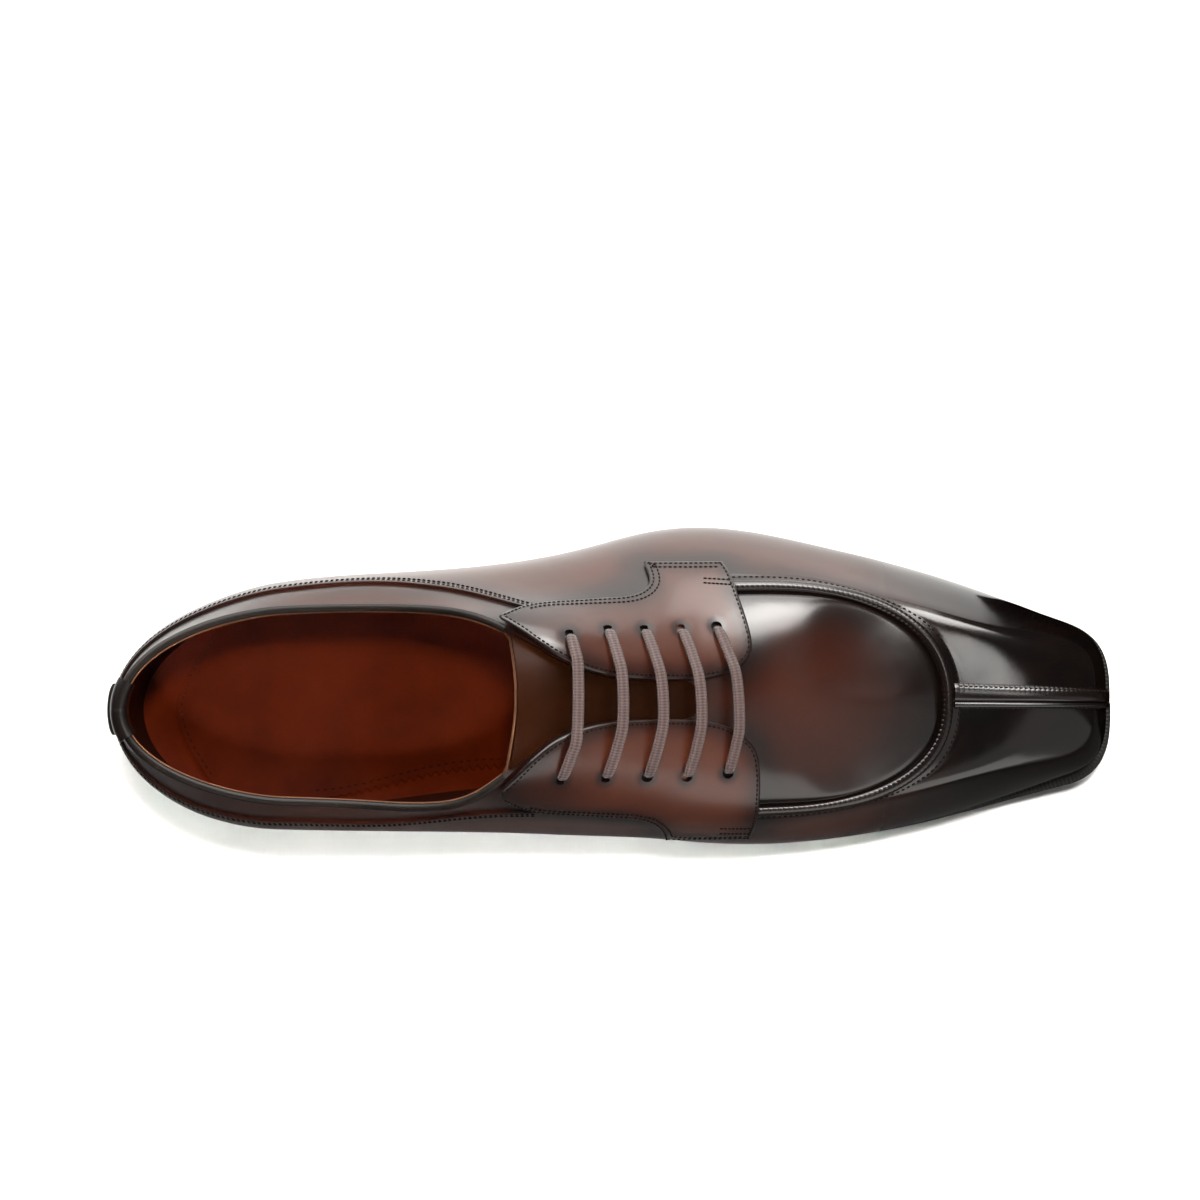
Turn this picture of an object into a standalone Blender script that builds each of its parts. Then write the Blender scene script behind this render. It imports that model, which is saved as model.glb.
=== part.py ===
"""Split-toe derby dress shoe for the left foot: a hollow leather upper on a welted sole with a block heel.

Sizes are millimetres until new_object turns them into metres. A station runs from the back of the heel
(0) to the tip of the toe, a half width runs from the centre line of the last, lateral is the outside of
the foot (+Y), medial the inside, and heights are above the floor.
"""
import math
from collections import namedtuple

import bmesh
import bpy
import numpy as np
from mathutils import Matrix, Vector

MM = 0.001

# The whole shoe
LENGTH = 304.0
LENGTH_CENTRE = 151.9    # middle of the shoe's length and width, put on the origin
SIDE_CENTRE = 4.446

# The sole
HEEL_RISE = 22.0         # underside of the outsole above the floor at the heel seat
SEAT_FRONT = 30.0        # station where the heel seat starts to fall into the arch
TREAD_BACK = 172.0       # the forefoot lies flat on the floor between these stations
TREAD_FRONT = 212.0
TOE_SPRING = 9.0
TOE_SPRING_POWER = 1.7
OUTSOLE_THICK = 4.4
WELT_THICK = 2.5
WELT_REACH = 2.6         # how far the welt goes in under the upper
INSOLE_THICK = 3.2
INSOLE_GAP = 0.5         # between the insole's edge and the welt
HEEL_BREAST = 63.0       # front face of the heel
HEEL_TAPER = 0.045
SOLE_STEPS = 60          # rows of faces along the outsole and insole, round the welt and along the heel
WELT_STEPS = 84
HEEL_STEPS = 16

# The upper and what is sewn on it
GAP = 0.3                # clearance between pieces that touch
WALL = 2.0
UPPER_STEPS = 88
RIDGE_HOLD = (108.0, 142.0)   # its top edge ends freely behind, and runs level across the foot in front
BAND_STEP = 0.9          # the quarter stands this much above the collar band
BAND_END = (108.0, 120.0)
FACING_GAP = 0.5
FACING_THICK = 1.4
SEAM_HALF = 1.7
SEAM_RISE = 1.3
SEAM_ENDS = (188.2, 194.6)    # stations of the apron seam's lateral and medial ends, at the facings
SEAM_STEPS = 34
TOE_SEAM_LATERAL = 6.0   # the split seam's strip reaches further to the lateral side of its groove
TOE_SEAM_MEDIAL = 2.4
TOE_SEAM_RISE = 1.1
TOE_SEAM_NARROW = 0.7    # its width at the welt, as a share of that at the apron
TOE_SEAM_FOOT = 0.4      # it ends above this level
TAB_HALF = 9.0
TAB_FOOT = 2.7           # the heel tab ends above this level
TAB_NARROW = 0.72
TAB_THICK = 0.9
TONGUE_THICK = 2.0
TONGUE_TOP = 117.0
TONGUE_DIP = 6.0         # the middle of its top edge lies this much further forward
TONGUE_FRONT = 186.0
TONGUE_GAP = 0.7
TONGUE_SINK = 1.8        # more room behind the vamp for the lace under the quarters
TONGUE_SINK_RUN = (150.0, 172.0)
TONGUE_WING = (3.25, 3.92)    # levels between which the tongue lies under a quarter
EYELET_RADIUS = 1.6
EYELET_SIDES = 10
PUNCH_LENGTH = 8.0
LACE_HALF_WIDTH = 1.75
LACE_HALF_THICK = 0.85
LACE_BOW = 2.6           # the bars bow towards the toe and stand up between the facings
LACE_ARCH = 2.6
LACE_LEAVE = 0.4         # a bar leaves the facing this far outside the throat edge
LACE_SIDES = 6

# Stations between which a section of the last lies square to its length
HEEL_ZONE = 45.0
FAN_START = 195.0
FAN_EASE = 8.0

LineRow = namedtuple("LineRow", "station lateral medial height_lateral height_medial")
LineEnds = namedtuple("LineEnds", "heel heel_round toe close toe_round toe_power")
Line = namedtuple("Line", "ends rows")

# Five lines drawn round the last: half widths to each side and heights. A line's ends are its stations at
# heel and toe, the station where its two sides meet and the lengths over which they round off.
FEATHER = Line(LineEnds(4.5, 46.0, 301.0, 301.0, 14.0, 3.6), [
    LineRow(0, 30.2, 32.0, 0, 0),
    LineRow(30, 31.2, 32.4, 0, 0),
    LineRow(55, 33.2, 33.0, 0, 0),
    LineRow(85, 34.4, 31.0, 0, 0),
    LineRow(115, 35.2, 28.2, 0, 0),
    LineRow(140, 38.8, 29.6, 0, 0),
    LineRow(160, 44.6, 34.6, 0, 0),
    LineRow(177, 48.4, 39.2, 0, 0),
    LineRow(195, 48.2, 41.8, 0, 0),
    LineRow(215, 45.0, 41.3, 0, 0),
    LineRow(245, 38.2, 36.5, 0, 0),
    LineRow(275, 28.8, 27.8, 0, 0),
    LineRow(301, 19.4, 19.0, 0, 0),
])
WALL_LINE = Line(LineEnds(0.0, 50.0, 301.6, 301.6, 14.0, 3.6), [
    LineRow(0, 33.8, 36.0, 46, 46),
    LineRow(30, 34.8, 36.2, 46.5, 46.5),
    LineRow(55, 37.7, 37.5, 47, 47),
    LineRow(85, 39.1, 38.8, 46, 46),
    LineRow(115, 41.1, 39.9, 41, 41),
    LineRow(140, 46.0, 41.0, 34, 35),
    LineRow(160, 51.5, 42.0, 27.5, 30),
    LineRow(177, 53.2, 43.6, 23, 25),
    LineRow(195, 51.5, 44.3, 20.5, 22),
    LineRow(215, 47.3, 42.9, 20, 20.5),
    LineRow(245, 39.9, 37.1, 20, 20),
    LineRow(275, 30.0, 28.0, 21.5, 21.5),
    LineRow(301.6, 19.8, 18.8, 24, 24),
])
SHOULDER = Line(LineEnds(0.8, 50.0, 295.0, 295.0, 16.0, 3.0), [
    LineRow(0, 33.4, 35.4, 60, 60),
    LineRow(30, 34.2, 35.4, 60, 60),
    LineRow(55, 36.4, 36.2, 60, 60),
    LineRow(85, 37.8, 37.4, 60, 60),
    LineRow(115, 38.8, 37.2, 58.5, 59),
    LineRow(140, 42.0, 38.0, 52.5, 54),
    LineRow(160, 45.4, 38.8, 46.5, 49),
    LineRow(177, 46.6, 39.4, 42, 45),
    LineRow(195, 45.2, 39.2, 38.5, 41),
    LineRow(215, 41.2, 37.2, 36.4, 37.5),
    LineRow(245, 33.6, 31.2, 34.6, 34.8),
    LineRow(275, 24.4, 22.8, 34, 34),
    LineRow(295, 16.8, 15.8, 34, 34),
])
# The collar band's lower edge at the back, the apron seam in front
SEAM = Line(LineEnds(2.0, 50.0, 251.0, 251.0, 56.0, 2.35), [
    LineRow(0, 32.2, 33.6, 67, 67),
    LineRow(30, 32.8, 33.8, 67, 67),
    LineRow(55, 35.0, 34.6, 66.5, 66.5),
    LineRow(85, 35.6, 35.6, 67.5, 68),
    LineRow(115, 31.6, 33.2, 74, 74),
    LineRow(140, 31.0, 33.2, 69.5, 70),
    LineRow(160, 32.4, 33.8, 61.5, 63),
    LineRow(177, 34.0, 34.0, 56, 57.5),
    LineRow(195, 34.6, 33.2, 52, 53),
    LineRow(215, 34.6, 33.0, 48.5, 49),
    LineRow(235, 34.6, 33.0, 45, 45.2),
    LineRow(251, 34.6, 33.0, 42.5, 42.5),
])
# The collar's top line, the edges of the lacing gap, and the ridge of the vamp in front of the gap
TOP = Line(LineEnds(5.0, 50.0, 233.0, 176.0, 6.0, 2.0), [
    LineRow(0, 30.0, 28.0, 88, 88),
    LineRow(25, 29.5, 27.8, 83, 83.5),
    LineRow(50, 29.5, 29.4, 77.5, 78.5),
    LineRow(75, 29.2, 31.2, 76, 77.5),
    LineRow(98, 28.1, 32.4, 81, 82.5),
    LineRow(112, 25.2, 28.6, 88.5, 89),
    LineRow(122, 20.0, 20.4, 93.5, 93.5),
    LineRow(132, 13.4, 11.8, 94.5, 94.5),
    LineRow(142, 8.8, 7.4, 90, 90),
    LineRow(152, 6.6, 5.8, 84, 84),
    LineRow(165, 6.0, 5.4, 76, 76),
    LineRow(177, 6.4, 6.0, 69.4, 69.4),
    LineRow(188, 10.0, 9.8, 64.0, 64.0),
    LineRow(195, 14.0, 14.0, 61.0, 61.0),
    LineRow(215, 14.0, 14.0, 53.8, 53.8),
    LineRow(233, 14.0, 14.0, 48.2, 48.2),
    LineRow(245, 14.0, 14.0, 44.7, 44.7),
])
LINES = [FEATHER, WALL_LINE, SHOULDER, SEAM, TOP]
SEAM_LEVEL = 3.0
TOP_LEVEL = 4.0
UPPER_LEVELS = [0.0, 0.5, 1.0, 1.33, 1.67, 2.0, 2.25, 2.5, 2.75, 2.99, 3.02, 3.25, 3.5, 3.75, 4.0]

# The heel lies a little to the medial side of the centre line
AxisRow = namedtuple("AxisRow", "station side")
AXIS = [
    AxisRow(0, -2.6),
    AxisRow(30, -2.2),
    AxisRow(60, -1.2),
    AxisRow(90, -0.4),
    AxisRow(115, 0.0),
    AxisRow(150, 0.0),
    AxisRow(200, 0.0),
    AxisRow(304, -0.8),
]

# How far the sole's edge stands out from the feather line
GrowRow = namedtuple("GrowRow", "station lateral medial")
SOLE_GROW = [
    GrowRow(0, 1.0, 1.0),
    GrowRow(60, 1.0, 1.0),
    GrowRow(120, 1.2, 1.2),
    GrowRow(180, 1.5, 2.0),
    GrowRow(215, 1.8, 2.0),
    GrowRow(245, 1.8, 1.8),
    GrowRow(275, 1.3, 1.8),
    GrowRow(290, 1.5, 2.2),
    GrowRow(301, 2.8, 3.0),
]

# The facings: half width of the lower edge with the tab that drops from it, and the slanted front edge
FacingRow = namedtuple("FacingRow", "station lateral medial")
FACING_LOWER = [
    FacingRow(117.0, 25.0, 27.6),
    FacingRow(124.0, 27.4, 29.8),
    FacingRow(135.0, 28.8, 30.9),
    FacingRow(147.0, 29.9, 32.4),
    FacingRow(155.5, 31.0, 33.2),
    FacingRow(160.0, 33.4, 34.0),
    FacingRow(162.0, 37.0, 34.8),
    FacingRow(164.0, 41.0, 37.0),
    FacingRow(166.5, 41.0, 40.2),
    FacingRow(195.0, 41.0, 40.2),
]
FACING_SQUARE = 166.5    # in front of this station the facing leans to its front edge
FACING_BACK_END = 133.0
FACING_MIDDLE = [138.0, 143.5, 149.5, 155.5, 160.0, 162.0, 164.0]
FACING_SHARES = [0.0, 0.06, 0.2, 0.35, 0.5, 0.62, 0.75, 0.87, 1.0]
FrontRow = namedtuple("FrontRow", "share lateral medial")
FACING_FRONT = [
    FrontRow(0.0, 184.0, 187.0),
    FrontRow(0.06, 188.0, 191.0),
    FrontRow(0.2, 190.5, 193.0),
    FrontRow(0.5, 189.5, 193.5),
    FrontRow(0.75, 187.0, 193.3),
    FrontRow(1.0, 183.3, 192.6),
]

# Sections of the raised seams: places across, from -1 to 1, and heights as shares of the seam's rise
SectionRow = namedtuple("SectionRow", "across rise")
APRON_SECTION = [
    SectionRow(-1.0, 0.35),
    SectionRow(-0.6, 0.9),
    SectionRow(0.0, 1.0),
    SectionRow(0.6, 0.9),
    SectionRow(1.0, 0.35),
]
TOE_SECTION = [
    SectionRow(-1.0, 0.4),
    SectionRow(-0.6, 0.95),
    SectionRow(-0.2, 0.9),
    SectionRow(0.0, 0.35),
    SectionRow(0.1, 0.9),
    SectionRow(0.55, 1.0),
    SectionRow(0.85, 0.8),
    SectionRow(1.0, 0.35),
]

EyeletRow = namedtuple("EyeletRow", "station_lateral lateral station_medial medial")
EYELETS = [
    EyeletRow(136.6, 18.3, 134.2, 22.0),
    EyeletRow(147.6, 19.8, 147.0, 21.6),
    EyeletRow(158.4, 19.9, 159.2, 21.7),
    EyeletRow(169.3, 20.3, 171.0, 21.8),
    EyeletRow(180.0, 21.3, 183.3, 21.1),
]

FinishRow = namedtuple("FinishRow", "colour roughness")
FINISHES = {
    "sole": FinishRow((0.012, 0.010, 0.009), 0.35),
    "insole": FinishRow((0.30, 0.11, 0.045), 0.55),
    "calf": FinishRow((0.075, 0.026, 0.014), 0.22),
    "facing": FinishRow((0.060, 0.020, 0.012), 0.25),
    "seam": FinishRow((0.022, 0.010, 0.008), 0.3),
    "tongue": FinishRow((0.050, 0.018, 0.011), 0.3),
    "lace": FinishRow((0.035, 0.018, 0.018), 0.6),
}


def natural_spline(knots, values):
    """Return the smooth curve through the values, held at its end values beyond the knots."""
    knots = np.asarray(knots, float)
    values = np.asarray(values, float)
    gaps = np.diff(knots)
    slopes = np.diff(values) / gaps
    count = len(knots)
    system = np.eye(count)
    right = np.zeros(count)
    for i in range(1, count - 1):
        system[i, i - 1:i + 2] = gaps[i - 1], 2 * (gaps[i - 1] + gaps[i]), gaps[i]
        right[i] = 6 * (slopes[i] - slopes[i - 1])
    bends = np.linalg.solve(system, right)

    def curve(x):
        x = np.clip(x, knots[0], knots[-1])
        i = np.clip(np.searchsorted(knots, x, side="right") - 1, 0, count - 2)
        a = (knots[i + 1] - x) / gaps[i]
        b = 1 - a
        bow = (a ** 3 - a) * bends[i] + (b ** 3 - b) * bends[i + 1]
        return a * values[i] + b * values[i + 1] + bow * gaps[i] ** 2 / 6

    return curve


def column_curves(rows):
    """Return one smooth curve over the first column for each further column of a table."""
    knots = [row[0] for row in rows]
    return [natural_spline(knots, [row[k] for row in rows]) for k in range(1, len(rows[0]))]


def smoothstep(x):
    x = np.clip(x, 0.0, 1.0)
    return x * x * (3 - 2 * x)


LINE_CURVES = [column_curves(line.rows) for line in LINES]
AXIS_CURVE = column_curves(AXIS)[0]
GROW_CURVES = column_curves(SOLE_GROW)


def tread_height(station):
    """Return the height of the outsole's underside: heel seat, arch, flat forefoot and toe spring."""
    arch = HEEL_RISE * smoothstep((TREAD_BACK - station) / (TREAD_BACK - SEAT_FRONT))
    spring = np.clip((station - TREAD_FRONT) / (LENGTH - TREAD_FRONT), 0.0, None)
    return arch + TOE_SPRING * spring ** TOE_SPRING_POWER


def seat_height(station):
    """Return the height of the feather line, where the upper meets the welt."""
    return tread_height(station) + OUTSOLE_THICK + WELT_THICK + 2 * GAP


def line_station(ends, reference):
    """Return a line's own station for a station of the whole length."""
    ahead = np.clip((reference - FAN_START) / (LENGTH - FAN_START), 0.0, 1.0)
    eased = (ahead + (np.exp(-FAN_EASE * ahead) - 1) / FAN_EASE) / (1 - (1 - math.exp(-FAN_EASE)) / FAN_EASE)
    behind = np.clip((HEEL_ZONE - reference) / HEEL_ZONE, 0.0, 1.0)
    return reference - (LENGTH - ends.toe) * eased + ends.heel * behind ** 2


def line_points(index, reference, lateral):
    """Return points of one line on the lateral or medial side for stations of the whole length."""
    ends = LINES[index].ends
    curves = LINE_CURVES[index]
    station = line_station(ends, reference)
    ahead = np.clip((station - ends.close + ends.toe_round) / ends.toe_round, 0.0, 1.0)
    behind = np.clip((ends.heel + ends.heel_round - station) / ends.heel_round, 0.0, 1.0)
    rounding = (1 - ahead ** ends.toe_power) ** (1 / ends.toe_power) * np.sqrt(1 - behind ** 2)
    half = np.where(lateral, curves[0](station), -curves[1](station)) * rounding
    height = seat_height(station) if index == 0 else np.where(lateral, curves[2](station), curves[3](station))
    return np.stack([station, AXIS_CURVE(station) + half, height], axis=-1)


def even_stations(samples=4000):
    """Return stations of the whole length and how far round the wall each lies, from 0 to 1."""
    stations = LENGTH * 0.5 * (1 - np.cos(np.linspace(0, math.pi, samples)))
    points = line_points(1, stations, np.ones(samples, bool))
    steps = np.linalg.norm(np.diff(points, axis=0), axis=1)
    shares = np.concatenate([[0.0], np.cumsum(steps)])
    return stations, shares / shares[-1]


STATIONS, SHARES = even_stations()


def round_at(station, lateral=True):
    """Return the place round the last for a station: 0 heel, 1 toe, 2 heel again by the medial side."""
    share = np.interp(station, STATIONS, SHARES)
    return share if lateral else 2.0 - share


def last_surface(around, level):
    """Return points of the last: around runs 0 to 2 round it, level 0 to 4 from the feather to the top."""
    around, level = np.broadcast_arrays(np.asarray(around, float) % 2.0, np.asarray(level, float))
    shape = around.shape
    around = around.ravel()
    level = np.clip(level.ravel(), 0.0, TOP_LEVEL)
    lateral = around <= 1.0
    reference = np.interp(np.where(lateral, around, 2.0 - around), SHARES, STATIONS)
    knots = np.stack([line_points(k, reference, lateral) for k in range(len(LINES))], axis=1)
    spans = np.diff(knots, axis=1)
    lengths = np.linalg.norm(spans, axis=2)
    slopes = spans / lengths[..., None]
    count = len(LINES)
    system = np.zeros((len(around), count, count))
    right = np.zeros((len(around), count, 3))
    system[:, 0, 0] = 1.0
    for i in range(1, count - 1):
        system[:, i, i - 1] = lengths[:, i - 1]
        system[:, i, i] = 2 * (lengths[:, i - 1] + lengths[:, i])
        system[:, i, i + 1] = lengths[:, i]
        right[:, i] = 6 * (slopes[:, i] - slopes[:, i - 1])

    # At the collar the wall ends freely, along the ridge it runs level across the foot
    free = system.copy()
    free[:, -1, -1] = 1.0
    station = knots[:, -1, 0]
    ridge = LINE_CURVES[-1][2]
    climb = ridge(station + 0.5) - ridge(station - 0.5)
    flat = spans[:, -1] * np.array([1.0, 1.0, 0.0])
    flat = flat / np.linalg.norm(flat, axis=1)[:, None]
    along = flat + np.stack([0 * climb, 0 * climb, flat[:, 0] * climb], axis=1)
    system[:, -1, -2] = lengths[:, -1]
    system[:, -1, -1] = 2 * lengths[:, -1]
    held_right = right.copy()
    held_right[:, -1] = 6 * (along - slopes[:, -1])
    hold = smoothstep((station - RIDGE_HOLD[0]) / (RIDGE_HOLD[1] - RIDGE_HOLD[0]))[:, None, None]
    bends = (1 - hold) * np.linalg.solve(free, right) + hold * np.linalg.solve(system, held_right)

    span = np.clip(level.astype(int), 0, count - 2)
    rows = np.arange(len(around))
    b = (level - span)[:, None]
    a = 1 - b
    bow = (a ** 3 - a) * bends[rows, span] + (b ** 3 - b) * bends[rows, span + 1]
    points = a * knots[rows, span] + b * knots[rows, span + 1] + bow * lengths[rows, span][:, None] ** 2 / 6
    return points.reshape(shape + (3,))


def last_normal(around, level, step=0.002):
    """Return the outward unit normals of the last."""
    across = last_surface(np.asarray(around) + step, level) - last_surface(np.asarray(around) - step, level)
    up = last_surface(around, np.asarray(level) + 0.01) - last_surface(around, np.asarray(level) - 0.01)
    normal = np.cross(up, across)
    return normal / np.linalg.norm(normal, axis=-1)[..., None]


def upper_face(around, level, rise=0.0):
    """Return points at a distance outside the upper's outer face, which steps in at the collar band."""
    around, level = np.broadcast_arrays(np.asarray(around, float), np.asarray(level, float))
    points = last_surface(around, level)
    back = 1 - smoothstep((points[..., 0] - BAND_END[0]) / (BAND_END[1] - BAND_END[0]))
    step = BAND_STEP * back * (level > SEAM_LEVEL)
    return points + (rise - step)[..., None] * last_normal(around, level)


def level_at(station, half, lateral):
    """Return the level at which the last has a half width at a station, above its widest line."""
    levels = np.linspace(1.0, TOP_LEVEL, 240)
    sides = last_surface(round_at(station, lateral), levels)[:, 1]
    if lateral:
        return float(np.interp(-half, -sides, levels))
    return float(np.interp(-half, sides, levels))


def finish(name):
    """Return the material of one finish, made at its first use."""
    material = bpy.data.materials.get(name)
    if material is None:
        material = bpy.data.materials.new(name)
        material.use_nodes = True
        shader = material.node_tree.nodes["Principled BSDF"]
        shader.inputs["Base Color"].default_value = (*FINISHES[name].colour, 1.0)
        shader.inputs["Roughness"].default_value = FINISHES[name].roughness
    return material


def new_object(name, mesh_data, finish_name):
    """Weld a bmesh given in millimetres, move it to the shoe's origin and make it a named object."""
    if mesh_data.calc_volume(signed=True) < 0:
        bmesh.ops.reverse_faces(mesh_data, faces=mesh_data.faces)
    shift = Vector((-LENGTH_CENTRE, -SIDE_CENTRE, 0.0))
    move = Matrix.Scale(MM, 4) @ Matrix.Translation(shift)
    bmesh.ops.transform(mesh_data, matrix=move, verts=mesh_data.verts)
    bmesh.ops.remove_doubles(mesh_data, verts=mesh_data.verts, dist=0.01 * MM)
    bmesh.ops.dissolve_degenerate(mesh_data, edges=mesh_data.edges, dist=0.01 * MM)
    mesh = bpy.data.meshes.new(name)
    mesh_data.to_mesh(mesh)
    mesh_data.free()
    mesh.materials.append(finish(finish_name))
    part = bpy.data.objects.new(name, mesh)
    bpy.context.collection.objects.link(part)
    return part


def add_faces(mesh_data, rows, ring, outward):
    """Join neighbouring rows of vertices with four-sided faces, going round when the rows form a ring."""
    count = len(rows)
    for i in range(count if ring else count - 1):
        near = rows[i]
        far = rows[(i + 1) % count]
        for j in range(len(near) - 1):
            corners = [near[j], near[j + 1], far[j + 1], far[j]]
            mesh_data.faces.new(corners if outward else corners[::-1])


def slab(name, lower, upper, finish_name, ring=False):
    """Make a closed solid between a lower and an upper grid of points with the same layout."""
    mesh_data = bmesh.new()
    bottom = [[mesh_data.verts.new(p) for p in row] for row in lower]
    top = [[mesh_data.verts.new(p) for p in row] for row in upper]
    add_faces(mesh_data, top, ring, True)
    add_faces(mesh_data, bottom, ring, False)
    add_faces(mesh_data, [[b[0], t[0]] for b, t in zip(bottom, top)], ring, True)
    add_faces(mesh_data, [[b[-1], t[-1]] for b, t in zip(bottom, top)], ring, False)
    if not ring:
        add_faces(mesh_data, [[b, t] for b, t in zip(bottom[0], top[0])], False, False)
        add_faces(mesh_data, [[b, t] for b, t in zip(bottom[-1], top[-1])], False, True)
    return new_object(name, mesh_data, finish_name)


def sole_outline(around, grow):
    """Return the feather line in plan, moved outwards by a distance."""
    def flat(place):
        points = last_surface(place, 0.0)
        return points * np.array([1.0, 1.0, 0.0])
    points = flat(around)
    run = flat(np.asarray(around) + 0.004) - flat(np.asarray(around) - 0.004)
    outward = np.stack([-run[..., 1], run[..., 0], 0 * run[..., 0]], axis=-1)
    return points + np.asarray(grow)[..., None] * outward / np.linalg.norm(outward, axis=-1)[..., None]


def edge_grow(around):
    """Return how far the sole stands out from the feather line round the last."""
    points = last_surface(around, 0.0)
    lateral = np.asarray(around) % 2.0 <= 1.0
    return np.where(lateral, GROW_CURVES[0](points[..., 0]), GROW_CURVES[1](points[..., 0]))


def raised(points, height, offset):
    """Return plan points lifted to a height that follows their stations."""
    lifted = points.copy()
    lifted[..., 2] = height(points[..., 0]) + offset
    return lifted


def across_plate(name, shares, grow, height, offset, thick, finish_name):
    """Make a plate across the foot under the whole outline, following a height along its length."""
    sides = []
    for places in (shares, 2.0 - shares):
        distance = edge_grow(places) if grow is None else np.full(places.shape, grow)
        sides.append(sole_outline(places, distance))
    plan = np.stack(sides, axis=1)
    return slab(name, raised(plan, height, offset), raised(plan, height, offset + thick), finish_name)


def build_sole():
    """Make the outsole, the welt on it, the heel under it and the insole inside the welt."""
    shares = np.linspace(0.0, 1.0, SOLE_STEPS + 1)
    across_plate("outsole", shares, None, tread_height, 0.0, OUTSOLE_THICK, "sole")
    around = np.linspace(0.0, 2.0, WELT_STEPS + 1)[:-1]
    outer = sole_outline(around, edge_grow(around))
    inner = sole_outline(around, np.full(around.shape, -WELT_REACH))
    plan = np.stack([inner, outer], axis=1)
    base = OUTSOLE_THICK + GAP
    top = raised(plan, tread_height, base + WELT_THICK)
    slab("welt", raised(plan, tread_height, base), top, "sole", True)
    across_plate("insole", shares, -WELT_REACH - INSOLE_GAP, tread_height, base, INSOLE_THICK, "insole")
    build_heel()


def build_heel():
    """Make the heel block: flat on the floor, tapered, its top following the outsole."""
    shares = np.linspace(0.0, round_at(HEEL_BREAST), HEEL_STEPS + 1)
    sides = [sole_outline(places, edge_grow(places)) for places in (shares, 2.0 - shares)]
    plan = np.stack(sides, axis=1)
    plan[-1, :, 0] = HEEL_BREAST
    top = raised(plan, tread_height, -GAP)
    middle = np.array([HEEL_BREAST, float(AXIS_CURVE(HEEL_BREAST)), 0.0])
    floor = middle + (plan - middle) * np.array([1 - HEEL_TAPER, 1 - HEEL_TAPER, 0.0])
    slab("heel", floor, top, "sole")


def build_upper():
    """Make the lasted upper: one sheet round the last, thickened inwards to a hollow wall."""
    around = np.linspace(0.0, 2.0, UPPER_STEPS + 1)[:-1]
    grid = upper_face(around[:, None], np.array(UPPER_LEVELS)[None, :])
    mesh_data = bmesh.new()
    rows = [[mesh_data.verts.new(p) for p in row] for row in grid]
    add_faces(mesh_data, rows, True, True)
    upper = new_object("upper", mesh_data, "calf")
    wall = upper.modifiers.new("wall", "SOLIDIFY")
    wall.thickness = WALL * MM
    wall.offset = -1.0
    wall.use_quality_normals = True
    return upper


def facing_grid(lateral, rise):
    """Return the grid of one facing from its throat edge down to its lower edge and its tab."""
    side = 0 if lateral else 1
    lower_rows = np.array([[row.station, row[1 + side]] for row in FACING_LOWER])
    front_rows = np.array([[row.share, row[1 + side]] for row in FACING_FRONT])
    stations = np.concatenate([
        np.linspace(FACING_LOWER[0].station, FACING_BACK_END, 6),
        FACING_MIDDLE,
        np.linspace(FACING_SQUARE, FAN_START, 6),
    ])
    reach = np.interp(FACING_SHARES, front_rows[:, 0], front_rows[:, 1])
    top_half = LINE_CURVES[-1][side]
    places = np.zeros((len(stations), len(FACING_SHARES)))
    levels = np.zeros_like(places)
    for i, flat_station in enumerate(stations):
        for j, share in enumerate(FACING_SHARES):
            ahead = max(0.0, (flat_station - FACING_SQUARE) / (FAN_START - FACING_SQUARE))
            station = flat_station if ahead == 0 else FACING_SQUARE + ahead * (reach[j] - FACING_SQUARE)
            edge = float(top_half(station))
            low = float(np.interp(station, lower_rows[:, 0], lower_rows[:, 1]))
            places[i, j] = round_at(station, lateral)
            levels[i, j] = level_at(station, edge + share * (low - edge), lateral)
    return upper_face(places, levels, rise)


def build_facings():
    """Make the two facings over the quarters, with their dropped tabs."""
    facings = []
    for name, lateral in (("facing_lateral", True), ("facing_medial", False)):
        lower = facing_grid(lateral, FACING_GAP)
        upper = facing_grid(lateral, FACING_GAP + FACING_THICK)
        facings.append(slab(name, lower, upper, "facing"))
    return facings


def run_per_level(around, level, step=0.05):
    """Return the length on the last of one level, just below a level."""
    rise = last_surface(around, level) - last_surface(around, np.asarray(level) - step)
    return np.linalg.norm(rise, axis=-1) / step


def places_beside(middle, level, offsets, reach=0.1):
    """Return the places round the last that lie a distance to the side of a place at its heel or toe."""
    around = np.linspace(middle - reach, middle + reach, 161)
    sides = last_surface(around, level)[:, 1]
    if sides[0] > sides[-1]:
        sides = sides[::-1]
        around = around[::-1]
    return np.interp(last_surface(middle, level)[1] + offsets, sides, around)


def build_apron_seam():
    """Make the raised seam round the apron."""
    around = np.linspace(round_at(SEAM_ENDS[0], True), round_at(SEAM_ENDS[1], False), SEAM_STEPS + 1)
    section = np.array(APRON_SECTION)
    below = run_per_level(around, SEAM_LEVEL)
    above = run_per_level(around, SEAM_LEVEL, -0.05)
    lengths = np.where(section[None, :, 0] < 0, below[:, None], -above[:, None])
    levels = SEAM_LEVEL + section[None, :, 0] * SEAM_HALF / lengths
    places = np.repeat(around[:, None], len(section), axis=1)
    normal = last_normal(places, levels)
    lower = last_surface(places, levels) + GAP * normal
    return slab("apron_seam", lower, lower + SEAM_RISE * section[None, :, 1, None] * normal, "seam")


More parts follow.
